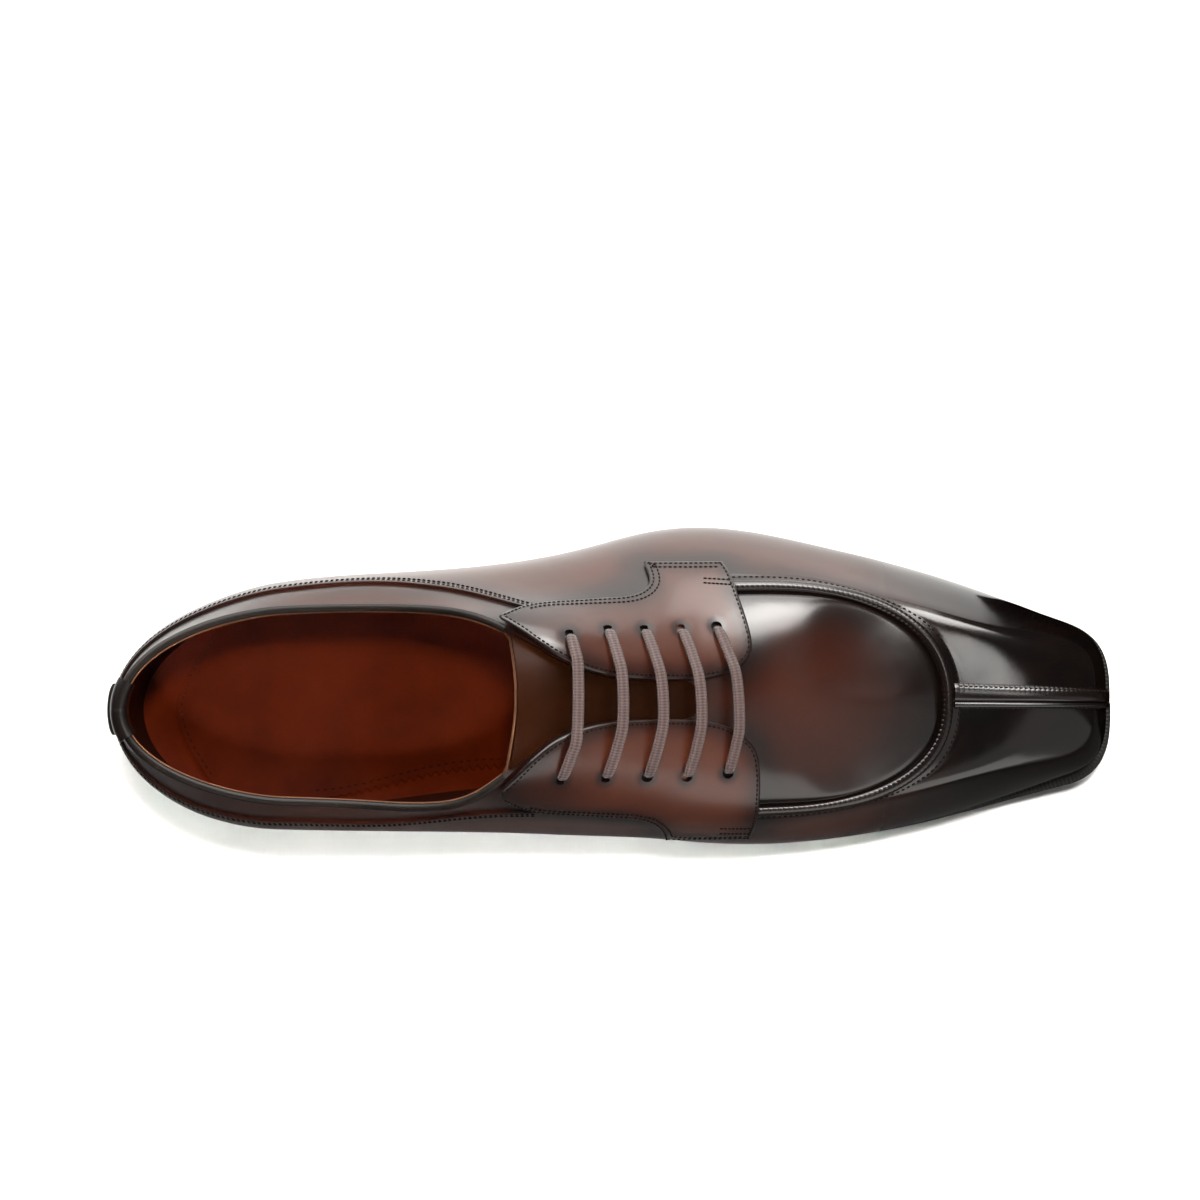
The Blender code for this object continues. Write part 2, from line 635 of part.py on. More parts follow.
def build_toe_seam():
    """Make the raised split seam from the apron down to the welt, on rows of the upper itself."""
    start = SEAM_LEVEL - (SEAM_HALF + 2 * GAP) / float(run_per_level(1.0, SEAM_LEVEL))
    rows = [level for level in UPPER_LEVELS[::-1] if TOE_SEAM_FOOT < level < start - 0.1]
    levels = np.array([start] + rows)
    section = np.array(TOE_SECTION)
    across = section[:, 0] * np.where(section[:, 0] < 0, TOE_SEAM_MEDIAL, TOE_SEAM_LATERAL)
    narrowing = np.linspace(1.0, TOE_SEAM_NARROW, len(levels))
    places = np.array([places_beside(1.0, level, across * share) for level, share in zip(levels, narrowing)])
    levels = np.repeat(levels[:, None], len(section), axis=1)
    normal = last_normal(places, levels)
    lower = last_surface(places, levels) + GAP * normal
    return slab("toe_seam", lower, lower + TOE_SEAM_RISE * section[None, :, 1, None] * normal, "seam")


def build_heel_tab():
    """Make the small tab over the back seam, following the collar band and the step below it."""
    levels = np.array([level for level in UPPER_LEVELS[::-1] if level > TAB_FOOT])
    narrowing = np.linspace(1.0, TAB_NARROW, len(levels))
    across = np.linspace(-TAB_HALF, TAB_HALF, 7)
    places = np.array([places_beside(0.0, level, across * share) for level, share in zip(levels, narrowing)])
    levels = np.repeat(levels[:, None], len(across), axis=1)
    lower = upper_face(places, levels, GAP)
    return slab("heel_tab", lower, upper_face(places, levels, GAP + TAB_THICK), "seam")


def tongue_grid(rise):
    """Return the tongue's grid: under both quarters and arched across the lacing gap between them."""
    stations = np.linspace(TONGUE_TOP, TONGUE_FRONT, 13)
    wing = np.linspace(*TONGUE_WING, 5)
    bridge = np.linspace(0.0, 1.0, 6)[1:-1]
    rows = []
    for station in stations:
        back, front = TONGUE_SINK_RUN
        sink = TONGUE_GAP + TONGUE_SINK * smoothstep((front - station) / (front - back))
        depth = rise - WALL - sink
        sides = []
        for lateral in (True, False):
            place = round_at(station, lateral)
            normal = last_normal(place, wing)
            sides.append(last_surface(place, wing) + depth * normal)
        left, right = sides
        reach = np.linalg.norm(left[-1] - right[-1])
        out = (left[-1] - left[-2]) / np.linalg.norm(left[-1] - left[-2]) * reach
        home = (right[-2] - right[-1]) / np.linalg.norm(right[-2] - right[-1]) * reach
        t = bridge[:, None]
        middle = ((2 * t ** 3 - 3 * t ** 2 + 1) * left[-1] + (t ** 3 - 2 * t ** 2 + t) * out
                  + (3 * t ** 2 - 2 * t ** 3) * right[-1] + (t ** 3 - t ** 2) * home)
        rows.append(np.concatenate([left, middle, right[::-1]]))
    grid = np.array(rows)
    shares = np.linspace(0.0, 1.0, len(stations))
    for j, bow in enumerate(np.sin(np.linspace(0.0, math.pi, grid.shape[1])) ** 2):
        dip = bow * TONGUE_DIP / (TONGUE_FRONT - TONGUE_TOP)
        for axis in range(3):
            grid[:, j, axis] = np.interp(dip + (1 - dip) * shares, shares, grid[:, j, axis].copy())
    return grid


def build_tongue():
    """Make the tongue under the lacing gap."""
    return slab("tongue", tongue_grid(-TONGUE_THICK), tongue_grid(0.0), "tongue")


def eyelet_place(row, lateral):
    """Return the place and level of an eyelet on the last."""
    station = row.station_lateral if lateral else row.station_medial
    half = row.lateral if lateral else row.medial
    return round_at(station, lateral), level_at(station, half, lateral)


def punch_eyelets(targets):
    """Punch the eyelets through the facings and the upper with one hidden set of round punches."""
    mesh_data = bmesh.new()
    for row in EYELETS:
        for lateral in (True, False):
            place, level = eyelet_place(row, lateral)
            middle = Vector(last_surface(place, level))
            axis = Vector(last_normal(place, level))
            turn = Matrix.Translation(middle) @ axis.to_track_quat("Z", "Y").to_matrix().to_4x4()
            bmesh.ops.create_cone(mesh_data, cap_ends=True, segments=EYELET_SIDES, radius1=EYELET_RADIUS,
                                  radius2=EYELET_RADIUS, depth=PUNCH_LENGTH, matrix=turn)
    punches = new_object("eyelet_punches", mesh_data, "seam")
    punches.hide_render = True
    punches.display_type = "WIRE"
    for target in targets:
        cut = target.modifiers.new("eyelets", "BOOLEAN")
        cut.operation = "DIFFERENCE"
        cut.solver = "EXACT"
        cut.object = punches


def bar_path(row):
    """Return the points and normals of one lace bar from its lateral to its medial eyelet."""
    lift = FACING_GAP + FACING_THICK + GAP + LACE_HALF_THICK
    halves = []
    for lateral in (True, False):
        side = 0 if lateral else 1
        station = row.station_lateral if lateral else row.station_medial
        half = row.lateral if lateral else row.medial
        other = row.station_medial if lateral else row.station_lateral
        edge_half = float(LINE_CURVES[-1][side](station)) + LACE_LEAVE
        outs = np.linspace(half, edge_half, 5)
        shares = (half - outs) / (row.lateral + row.medial)
        stations = station + (other - station) * shares
        places = np.array([round_at(s, lateral) for s in stations])
        levels = np.array([level_at(s, h, lateral) for s, h in zip(stations, outs)])
        normal = last_normal(places, levels)
        halves.append((last_surface(places, levels) + lift * normal, normal))
    points = np.concatenate([halves[0][0], halves[1][0][::-1]])
    normals = np.concatenate([halves[0][1], halves[1][1][::-1]])
    share = (points[:, 1] - points[0, 1]) / (points[-1, 1] - points[0, 1])
    bow = np.sin(math.pi * share)[:, None]
    middle = normals.mean(axis=0)
    forward = np.array([middle[2], 0.0, -middle[0]])
    points = points + bow * (LACE_ARCH * middle + LACE_BOW * forward)
    return points, normals


def build_lace_bars():
    """Make the five straight bars of the lace, flat oval in section and clear of the facings."""
    turns = np.linspace(0.0, 2 * math.pi, LACE_SIDES + 1)[:-1]
    for number, row in enumerate(EYELETS, start=1):
        points, normals = bar_path(row)
        run = np.gradient(points, axis=0)
        run = run / np.linalg.norm(run, axis=1)[:, None]
        side = np.cross(run, normals)
        side = side / np.linalg.norm(side, axis=1)[:, None]
        up = np.cross(side, run)
        wide = LACE_HALF_WIDTH * np.cos(turns)[None, :, None] * side[:, None, :]
        thick = LACE_HALF_THICK * np.sin(turns)[None, :, None] * up[:, None, :]
        mesh_data = bmesh.new()
        rings = [[mesh_data.verts.new(p) for p in ring] for ring in points[:, None, :] + wide + thick]
        add_faces(mesh_data, [ring + ring[:1] for ring in rings], False, True)
        mesh_data.faces.new(rings[0][::-1])
        mesh_data.faces.new(rings[-1])
        new_object(f"lace_bar_{number}", mesh_data, "lace")


def main():
    """Build the shoe from the sole up."""
    for item in list(bpy.data.objects):
        bpy.data.objects.remove(item)
    build_sole()
    upper = build_upper()
    build_tongue()
    facings = build_facings()
    punch_eyelets([upper, *facings])
    build_apron_seam()
    build_toe_seam()
    build_heel_tab()
    build_lace_bars()


main()
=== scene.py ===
"""Looks of the left split-toe derby: burnished calf, raised seams, stitches, lace, lining and black sole.

Lengths are millimetres on the last until to_row turns them into the frame's metres. A station runs from the
back of the heel (0) to the tip of the toe, a half width runs from the centre line of the last, lateral is
the outside of the foot (+Y), medial the inside, and heights are above the floor.
"""
import logging
import math
from dataclasses import dataclass, field, fields
from enum import Enum
from typing import Callable, NamedTuple, Sequence

import bpy
import numpy as np
from mathutils import Matrix, Vector
from mathutils.bvhtree import BVHTree
from mathutils.geometry import delaunay_2d_cdt
from mathutils.kdtree import KDTree


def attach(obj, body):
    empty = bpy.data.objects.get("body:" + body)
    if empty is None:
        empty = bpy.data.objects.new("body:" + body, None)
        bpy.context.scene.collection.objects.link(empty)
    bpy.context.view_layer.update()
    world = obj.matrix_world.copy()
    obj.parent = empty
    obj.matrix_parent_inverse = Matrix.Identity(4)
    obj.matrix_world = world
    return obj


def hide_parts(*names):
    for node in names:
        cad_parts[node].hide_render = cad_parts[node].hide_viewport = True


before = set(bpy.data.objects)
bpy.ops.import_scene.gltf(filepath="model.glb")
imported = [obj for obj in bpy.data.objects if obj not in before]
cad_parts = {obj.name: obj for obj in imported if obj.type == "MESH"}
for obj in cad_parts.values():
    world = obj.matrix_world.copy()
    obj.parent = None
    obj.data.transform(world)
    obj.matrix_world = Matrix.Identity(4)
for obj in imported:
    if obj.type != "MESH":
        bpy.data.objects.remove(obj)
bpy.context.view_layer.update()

log = logging.getLogger("dress_shoe")

Array = np.ndarray
Piece = bpy.types.Object
Material = bpy.types.Material
Socket = bpy.types.NodeSocket
Pair = tuple[float, float]
Colour = tuple[float, float, float]

MM = 0.001
BODY = "root"


class Side(Enum):
    """The two sides of the foot."""

    LATERAL = 0
    MEDIAL = 1


class LineEnds(NamedTuple):
    """Stations of a line at heel and toe, where its sides meet, and how its ends round off."""

    heel: float
    heel_round: float
    toe: float
    close: float
    toe_round: float
    toe_power: float


class Line(NamedTuple):
    """One line drawn round the last: rows of station, half widths and heights, lateral before medial."""

    ends: LineEnds
    rows: list[tuple[float, ...]]


FEATHER = Line(LineEnds(4.5, 46.0, 301.0, 301.0, 14.0, 3.6), [
    (0, 30.2, 32.0, 0, 0), (30, 31.2, 32.4, 0, 0), (55, 33.2, 33.0, 0, 0), (85, 34.4, 31.0, 0, 0),
    (115, 35.2, 28.2, 0, 0), (140, 38.8, 29.6, 0, 0), (160, 44.6, 34.6, 0, 0), (177, 48.4, 39.2, 0, 0),
    (195, 48.2, 41.8, 0, 0), (215, 45.0, 41.3, 0, 0), (245, 38.2, 36.5, 0, 0), (275, 28.8, 27.3, 0, 0),
    (301, 19.4, 17.9, 0, 0),
])
WALL_LINE = Line(LineEnds(0.0, 50.0, 301.6, 301.6, 14.0, 3.6), [
    (0, 33.8, 36.0, 46, 46), (30, 34.8, 36.2, 46.5, 46.5), (55, 37.7, 37.5, 47, 47),
    (85, 39.1, 38.8, 46, 46), (115, 41.1, 39.9, 41, 41), (140, 46.0, 41.0, 34, 35),
    (160, 51.5, 42.0, 27.5, 30), (177, 53.2, 43.6, 23, 25), (195, 51.5, 44.3, 20.5, 22),
    (215, 47.3, 42.9, 20, 20.5), (245, 39.9, 37.1, 20, 20), (275, 29.8, 27.4, 21, 21),
    (301.6, 19.6, 17.6, 23.2, 23.2),
])
SHOULDER = Line(LineEnds(0.8, 50.0, 292.5, 292.5, 20.0, 2.7), [
    (0, 33.4, 35.4, 60, 60), (30, 34.2, 35.4, 60, 60), (55, 36.4, 36.2, 60, 60), (85, 37.8, 37.4, 60, 60),
    (115, 38.8, 37.2, 58.5, 59), (140, 42.0, 38.0, 52.5, 54), (160, 45.4, 38.8, 46.5, 49),
    (177, 46.6, 39.4, 42, 45), (195, 45.1, 39.1, 38.5, 41), (215, 40.8, 36.8, 36.2, 37.4),
    (245, 32.3, 30.0, 34.1, 34.3), (275, 22.7, 21.1, 32.7, 32.7), (292.5, 15.9, 14.9, 32.0, 32.0),
])
# The collar band's lower edge at the back, the apron seam in front
SEAM = Line(LineEnds(2.0, 50.0, 251.0, 251.0, 56.0, 2.35), [
    (0, 32.2, 33.6, 67, 67), (30, 32.8, 33.8, 67, 67), (55, 35.0, 34.6, 66.5, 66.5),
    (85, 35.6, 35.6, 67.5, 68), (115, 31.6, 33.2, 74, 74), (140, 31.0, 33.2, 69.5, 70),
    (160, 32.4, 33.8, 61.5, 63), (177, 34.0, 34.0, 56, 57.5), (195, 34.6, 33.2, 51.4, 52.4),
    (215, 34.6, 33.0, 46.8, 47.3), (235, 34.6, 33.0, 42.9, 43.1), (251, 34.6, 33.0, 42.2, 42.2),
])
# The collar's top line, the edges of the lacing gap, and the ridge of the vamp in front of the gap
TOP = Line(LineEnds(5.0, 50.0, 233.0, 176.0, 6.0, 2.0), [
    (0, 30.0, 28.0, 88, 88), (25, 29.5, 27.8, 83, 83.5), (50, 29.5, 29.4, 77.5, 78.5),
    (75, 29.2, 31.2, 76, 77.5), (98, 28.1, 32.4, 81, 82.5), (112, 25.2, 28.6, 88.5, 89),
    (122, 20.0, 20.4, 93.5, 93.5), (132, 13.4, 11.8, 94.5, 94.5), (142, 8.8, 7.4, 90, 90),
    (152, 6.6, 5.8, 84, 84), (165, 6.0, 5.4, 76, 76), (177, 6.4, 6.0, 69.4, 69.4),
    (188, 10.0, 9.8, 64.0, 64.0), (195, 14.0, 14.0, 61.0, 61.0), (215, 14.0, 14.0, 53.8, 53.8),
    (233, 14.0, 14.0, 48.2, 48.2), (245, 14.0, 14.0, 44.7, 44.7),
])
LINES = [FEATHER, WALL_LINE, SHOULDER, SEAM, TOP]
SEAM_LEVEL = 3.0
TOP_LEVEL = 4.0

# Where the centre line of the last runs: station and side, with the heel a little to the medial side
AXIS = [(0, -2.6), (30, -2.2), (60, -1.2), (90, -0.4), (115, 0.0), (150, 0.0), (200, 0.0), (304, -0.8)]

# How far the sole's edge stands out from the feather line: station, lateral, medial
SOLE_GROW = [
    (0, 1.0, 1.0), (60, 1.0, 1.0), (120, 1.2, 1.2), (180, 1.5, 2.0), (215, 1.8, 2.0), (245, 1.8, 1.8),
    (275, 1.3, 2.6), (288, 1.5, 3.6), (297, 2.0, 3.8), (301, 2.8, 3.0),
]


class EyeletRow(NamedTuple):
    """Station and half width of a pair of eyelets."""

    station_lateral: float
    lateral: float
    station_medial: float
    medial: float

    def place(self, side: Side) -> Pair:
        """Return the station and half width on one side."""
        return (self[0], self[1]) if side is Side.LATERAL else (self[2], self[3])


EYELETS = [
    EyeletRow(136.6, 18.3, 134.2, 22.0),
    EyeletRow(147.6, 19.8, 147.0, 21.6),
    EyeletRow(158.4, 19.9, 159.2, 21.7),
    EyeletRow(169.3, 20.3, 171.0, 21.8),
    EyeletRow(180.0, 21.3, 183.3, 21.1),
]


def smoothstep(x: Array) -> Array:
    """Return the smooth ramp from 0 to 1."""
    x = np.clip(x, 0.0, 1.0)
    return x * x * (3 - 2 * x)


def ramp(x: Array, start: float, end: float) -> Array:
    """Return the smooth ramp from 0 at a start to 1 at an end, which may lie before the start."""
    return smoothstep((x - start) / (end - start))


def bell(x: Array, width: float) -> Array:
    """Return the bell curve of height 1 at 0."""
    return np.exp(-(x / width) ** 2)


def run_along(points: Array) -> Array:
    """Return how far each point of a line lies from the first, along the line."""
    return np.concatenate([[0.0], np.cumsum(np.linalg.norm(np.diff(points, axis=0), axis=1))])


def unit(vectors: Array) -> Array:
    """Return vectors at length 1."""
    return vectors / np.maximum(np.linalg.norm(vectors, axis=-1, keepdims=True), 1e-9)


class Spline:
    """A natural cubic spline through a table's rows, held at its end values."""

    def __init__(self, knots: Sequence[float], values: Sequence[float]) -> None:
        """Solve the bends at the knots."""
        self.knots = np.asarray(knots, float)
        self.values = np.asarray(values, float)
        self.gaps = np.diff(self.knots)
        slopes = np.diff(self.values) / self.gaps
        count = len(self.knots)
        system = np.eye(count)
        right = np.zeros(count)
        for i in range(1, count - 1):
            system[i, i - 1:i + 2] = self.gaps[i - 1], 2 * (self.gaps[i - 1] + self.gaps[i]), self.gaps[i]
            right[i] = 6 * (slopes[i] - slopes[i - 1])
        self.bends = np.linalg.solve(system, right)

    def __call__(self, x: Array) -> Array:
        """Return the curve's values."""
        x = np.clip(x, self.knots[0], self.knots[-1])
        i = np.clip(np.searchsorted(self.knots, x, side="right") - 1, 0, len(self.knots) - 2)
        a = (self.knots[i + 1] - x) / self.gaps[i]
        b = 1 - a
        bow = (a ** 3 - a) * self.bends[i] + (b ** 3 - b) * self.bends[i + 1]
        return a * self.values[i] + b * self.values[i + 1] + bow * self.gaps[i] ** 2 / 6


def column_splines(rows: Sequence[Sequence[float]]) -> list[Spline]:
    """Return one spline over the first column for each further column of a table."""
    knots = [row[0] for row in rows]
    return [Spline(knots, [row[k] for row in rows]) for k in range(1, len(rows[0]))]


@dataclass
class Last:
    """The last that the shoe is made on: five lines joined by smooth sections."""

    length: float = 304.0
    length_centre: float = 151.9
    side_centre: float = 4.446
    heel_rise: float = 22.0
    seat_front: float = 30.0
    tread_back: float = 172.0
    tread_front: float = 212.0
    toe_spring: float = 9.0
    toe_spring_power: float = 1.7
    outsole: float = 4.4
    welt: float = 2.5
    gap: float = 0.3
    heel_zone: float = 45.0
    fan_start: float = 195.0
    fan_ease: float = 8.0
    band_step: float = 0.9
    band_end: Pair = (124.0, 130.0)
    band_climb: float = 0.36
    climb_run: Pair = (98.0, 130.0)
    climb_back: Pair = (131.0, 152.0)
    ridge_hold: Pair = (108.0, 142.0)
    smooth_ridge: Pair | None = None

    def __post_init__(self) -> None:
        """Make the curves of the tables and the table of places round the wall."""
        self.curves = [column_splines(line.rows) for line in LINES]
        self.axis = column_splines(AXIS)[0]
        self.grow = column_splines(SOLE_GROW)
        samples = 4000
        self.stations = self.length * 0.5 * (1 - np.cos(np.linspace(0, math.pi, samples)))
        points = self.line(1, self.stations, np.ones(samples, bool))
        steps = np.linalg.norm(np.diff(points, axis=0), axis=1)
        self.shares = np.concatenate([[0.0], np.cumsum(steps)]) / steps.sum()

    def to_row(self, points: Array) -> Array:
        """Return points of the last in the frame's metres."""
        return (points - np.array([self.length_centre, self.side_centre, 0.0])) * MM

    def tread(self, station: Array) -> Array:
        """Return the height of the outsole's underside."""
        arch = self.heel_rise * ramp(station, self.tread_back, self.seat_front)
        spring = np.clip((station - self.tread_front) / (self.length - self.tread_front), 0.0, None)
        return arch + self.toe_spring * spring ** self.toe_spring_power

    def line(self, index: int, reference: Array, lateral: Array) -> Array:
        """Return points of one line for stations of the whole length.

        Args:
            index: The line's place in LINES.
            reference: Stations of the whole length.
            lateral: True where the point is on the lateral side.

        Returns:
            Points as station, side and height.
        """
        ends = LINES[index].ends
        ahead = np.clip((reference - self.fan_start) / (self.length - self.fan_start), 0.0, 1.0)
        ease = self.fan_ease
        eased = (ahead + (np.exp(-ease * ahead) - 1) / ease) / (1 - (1 - math.exp(-ease)) / ease)
        behind = np.clip((self.heel_zone - reference) / self.heel_zone, 0.0, 1.0)
        station = reference - (self.length - ends.toe) * eased + ends.heel * behind ** 2
        front = np.clip((station - ends.close + ends.toe_round) / ends.toe_round, 0.0, 1.0)
        back = np.clip((ends.heel + ends.heel_round - station) / ends.heel_round, 0.0, 1.0)
        closing = (1 - front ** ends.toe_power) ** (1 / ends.toe_power)
        if self.smooth_ridge and index == len(LINES) - 1:
            closing = 1 - ramp(station, *self.smooth_ridge)
        rounding = closing * np.sqrt(1 - back ** 2)
        curves = self.curves[index]
        half = np.where(lateral, curves[0](station), -curves[1](station)) * rounding
        seat = self.tread(station) + self.outsole + self.welt + 2 * self.gap
        height = seat if index == 0 else np.where(lateral, curves[2](station), curves[3](station))
        return np.stack([station, self.axis(station) + half, height], axis=-1)

    def surface(self, around: Array, level: Array) -> Array:
        """Return points of the last.

        Args:
            around: Places round it: 0 heel, 1 toe by the lateral side, 2 heel again by the medial side.
            level: Levels from 0 at the feather line to 4 at the top line.

        Returns:
            Points with the shape of the arguments and three columns.
        """
        around, level = np.broadcast_arrays(np.asarray(around, float) % 2.0, np.asarray(level, float))
        shape = around.shape
        around = around.ravel()
        level = np.clip(level.ravel(), 0.0, TOP_LEVEL)
        lateral = around <= 1.0
        reference = np.interp(np.where(lateral, around, 2.0 - around), self.shares, self.stations)
        knots = np.stack([self.line(k, reference, lateral) for k in range(len(LINES))], axis=1)
        spans = np.diff(knots, axis=1)
        lengths = np.linalg.norm(spans, axis=2)
        slopes = spans / lengths[..., None]
        count = len(LINES)
        system = np.zeros((len(around), count, count))
        right = np.zeros((len(around), count, 3))
        system[:, 0, 0] = 1.0
        for i in range(1, count - 1):
            system[:, i, i - 1] = lengths[:, i - 1]
            system[:, i, i] = 2 * (lengths[:, i - 1] + lengths[:, i])
            system[:, i, i + 1] = lengths[:, i]
            right[:, i] = 6 * (slopes[:, i] - slopes[:, i - 1])

        # At the collar the wall ends freely, along the ridge it runs level across the foot
        free = system.copy()
        free[:, -1, -1] = 1.0
        station = knots[:, -1, 0]
        ridge = self.curves[-1][2]
        climb = ridge(station + 0.5) - ridge(station - 0.5)
        flat = unit(spans[:, -1] * np.array([1.0, 1.0, 0.0]))
        along = flat + np.stack([0 * climb, 0 * climb, flat[:, 0] * climb], axis=1)
        system[:, -1, -2] = lengths[:, -1]
        system[:, -1, -1] = 2 * lengths[:, -1]
        held = right.copy()
        held[:, -1] = 6 * (along - slopes[:, -1])
        hold = ramp(station, *self.ridge_hold)[:, None, None]
        bends = (1 - hold) * np.linalg.solve(free, right) + hold * np.linalg.solve(system, held)

        span = np.clip(level.astype(int), 0, count - 2)
        rows = np.arange(len(around))
        b = (level - span)[:, None]
        a = 1 - b
        bow = (a ** 3 - a) * bends[rows, span] + (b ** 3 - b) * bends[rows, span + 1]
        points = a * knots[rows, span] + b * knots[rows, span + 1]
        return (points + bow * lengths[rows, span][:, None] ** 2 / 6).reshape(shape + (3,))

    def normal(self, around: Array, level: Array, step: float = 0.002, climb: float = 0.01) -> Array:
        """Return the outward unit normals of the last."""
        across = self.surface(around + step, level) - self.surface(around - step, level)
        up = self.surface(around, level + climb) - self.surface(around, level - climb)
        return unit(np.cross(up, across))

    def seam_at(self, around: Array) -> Array:
        """Return the seam line's level; at the lateral facing the collar band's edge climbs to the facing."""
        around = np.asarray(around, float) % 2.0
        station = np.interp(np.where(around <= 1.0, around, 2.0 - around), self.shares, self.stations)
        up, down = (ramp(station, *run) for run in (self.climb_run, self.climb_back))
        return SEAM_LEVEL + self.band_climb * up * (1 - down) * (around <= 1.0)

    def band(self, station: Array, above: Array) -> Array:
        """Return how far the collar band lies below the quarter, for levels above the seam line."""
        return self.band_step * (1 - ramp(station, *self.band_end)) * (above > 0)

    def face(self, around: Array, level: Array, rise: Array = 0.0) -> Array:
        """Return points at a distance outside the upper's outer face, which steps in at the collar band."""
        around, level = np.broadcast_arrays(np.asarray(around, float), np.asarray(level, float))
        points = self.surface(around, level)
        step = self.band(points[..., 0], level - self.seam_at(around))
        return points + (rise - step)[..., None] * self.normal(around, level)

    def round_at(self, station: Array, side: Side) -> Array:
        """Return the place round the last for stations on one side."""
        share = np.interp(station, self.stations, self.shares)
        return share if side is Side.LATERAL else 2.0 - share

    def path(self, ends: Pair, count: int, by_heel: bool = False) -> Array:
        """Return places from a lateral station to a medial one, round the toe or round the heel."""
        first, last = (float(self.round_at(end, side)) for end, side in zip(ends, Side))
        return np.linspace(first, last - 2.0 if by_heel else last, count)

    def levels_at(self, station: Array, half: Array, side: Side) -> Array:
        """Return the levels at which the last has half widths at stations, above its widest line.

        Args:
            station: Stations between the heel zone and the fan of the toe.
            half: Half widths, positive on both sides.
            side: The side of the foot.

        Returns:
            Levels from 1 to 4.
        """
        levels = np.linspace(1.0, TOP_LEVEL, 240)
        columns = np.arange(math.floor(station.min()), math.ceil(station.max()) + 2.0)
        places = self.round_at(columns, side)
        sides = np.abs(self.surface(places[:, None], levels[None, :])[..., 1])
        base = np.floor(station - columns[0]).astype(int)
        share = station - columns[0] - base
        found = np.zeros(station.shape)
        for column in np.unique(base):
            chosen = base == column
            low = np.interp(-half[chosen], -sides[column], levels)
            high = np.interp(-half[chosen], -sides[column + 1], levels)
            found[chosen] = low + (high - low) * share[chosen]
        return found

    def on_plan(self, plan: Array, side: Side, rise: Array = 0.0) -> tuple[Array, Array]:
        """Return surface points and normals for stations and half widths on one side.

        Args:
            plan: Rows of station and half width.
            side: The side of the foot.
            rise: Distance outside the last.

        Returns:
            Points and outward normals.
        """
        around = self.round_at(plan[:, 0], side)
        level = self.levels_at(plan[:, 0], plan[:, 1], side)
        normal = self.normal(around, level)
        lift = np.broadcast_to(np.asarray(rise, float), around.shape)
        return self.surface(around, level) + lift[:, None] * normal, normal

    def seam_level(self, around: Array, distance: float, level: Array = SEAM_LEVEL) -> Array:
        """Return levels that lie a distance along the wall above a level, or below it when negative."""
        found = np.broadcast_to(np.asarray(level, float), around.shape)
        steps, reach = 6, 0.02
        for _ in range(steps):
            rung = self.surface(around, found + reach) - self.surface(around, found - reach)
            run = np.linalg.norm(rung, axis=-1)
            found = found + distance / steps / np.maximum(run / (2 * reach), 1e-6)
        return found

    def outline(self, around: Array, grow: Array, step: float = 0.004) -> Array:
        """Return the feather line in plan, moved outwards by a distance."""
        keep = np.array([1.0, 1.0, 0.0])
        points = self.surface(around, 0.0) * keep
        run = (self.surface(around + step, 0.0) - self.surface(around - step, 0.0)) * keep
        outward = unit(np.stack([-run[..., 1], run[..., 0], 0 * run[..., 0]], axis=-1))
        return points + np.asarray(grow)[..., None] * outward

    def edge_grow(self, around: Array) -> Array:
        """Return how far the sole stands out from the feather line round the last."""
        station = self.surface(around, 0.0)[..., 0]
        lateral = around % 2.0 <= 1.0
        return np.where(lateral, self.grow[0](station), self.grow[1](station))


LAST = Last()
# The facings bridge the end of the lacing gap, so they follow a last on which it closes slowly
BRIDGED = Last(smooth_ridge=(160.0, 184.0))


def activate(piece: Piece) -> None:
    """Select one object alone and make it active."""
    bpy.ops.object.select_all(action="DESELECT")
    piece.select_set(True)
    bpy.context.view_layer.objects.active = piece


def add_grid(name: str, points: Array) -> Piece:
    """Add a grid primitive and move its vertices onto a lattice of points.

    Args:
        name: The piece's name.
        points: Points of the last, shaped rows by columns by 3. Columns turned towards rows face outwards.

    Returns:
        The new object, with a UV map that runs from 0 to 1 along the columns and the rows.
    """
    rows, columns = points.shape[:2]
    bpy.ops.object.select_all(action="DESELECT")
    bpy.ops.mesh.primitive_grid_add(x_subdivisions=columns - 1, y_subdivisions=rows - 1, size=1.0)
    piece = bpy.context.object
    piece.name = name
    piece.data.name = name
    piece.data.vertices.foreach_set("co", LAST.to_row(points).reshape(-1).astype(np.float32))
    piece.data.update()
    return piece


def add_mesh(name: str, points: Array, faces: Sequence[Sequence[int]]) -> Piece:
    """Make an object from points of the last and faces."""
    mesh = bpy.data.meshes.new(name)
    mesh.from_pydata(LAST.to_row(points).tolist(), [], [list(face) for face in faces])
    piece = bpy.data.objects.new(name, mesh)
    bpy.context.collection.objects.link(piece)
    return piece


def add_body(name: str, columns: Sequence[Array], fill: bool = False) -> Piece:
    """Add a closed body from the lines of points along it, with its ends filled if they are open."""
    piece = add_grid(name, np.stack(columns, axis=1))
    weld(piece, fill=fill, outward=True)
    return piece


def at_height(points: Array, height: Array) -> Array:
    """Return points moved to a height."""
    return np.stack([points[:, 0], points[:, 1], height], axis=1)


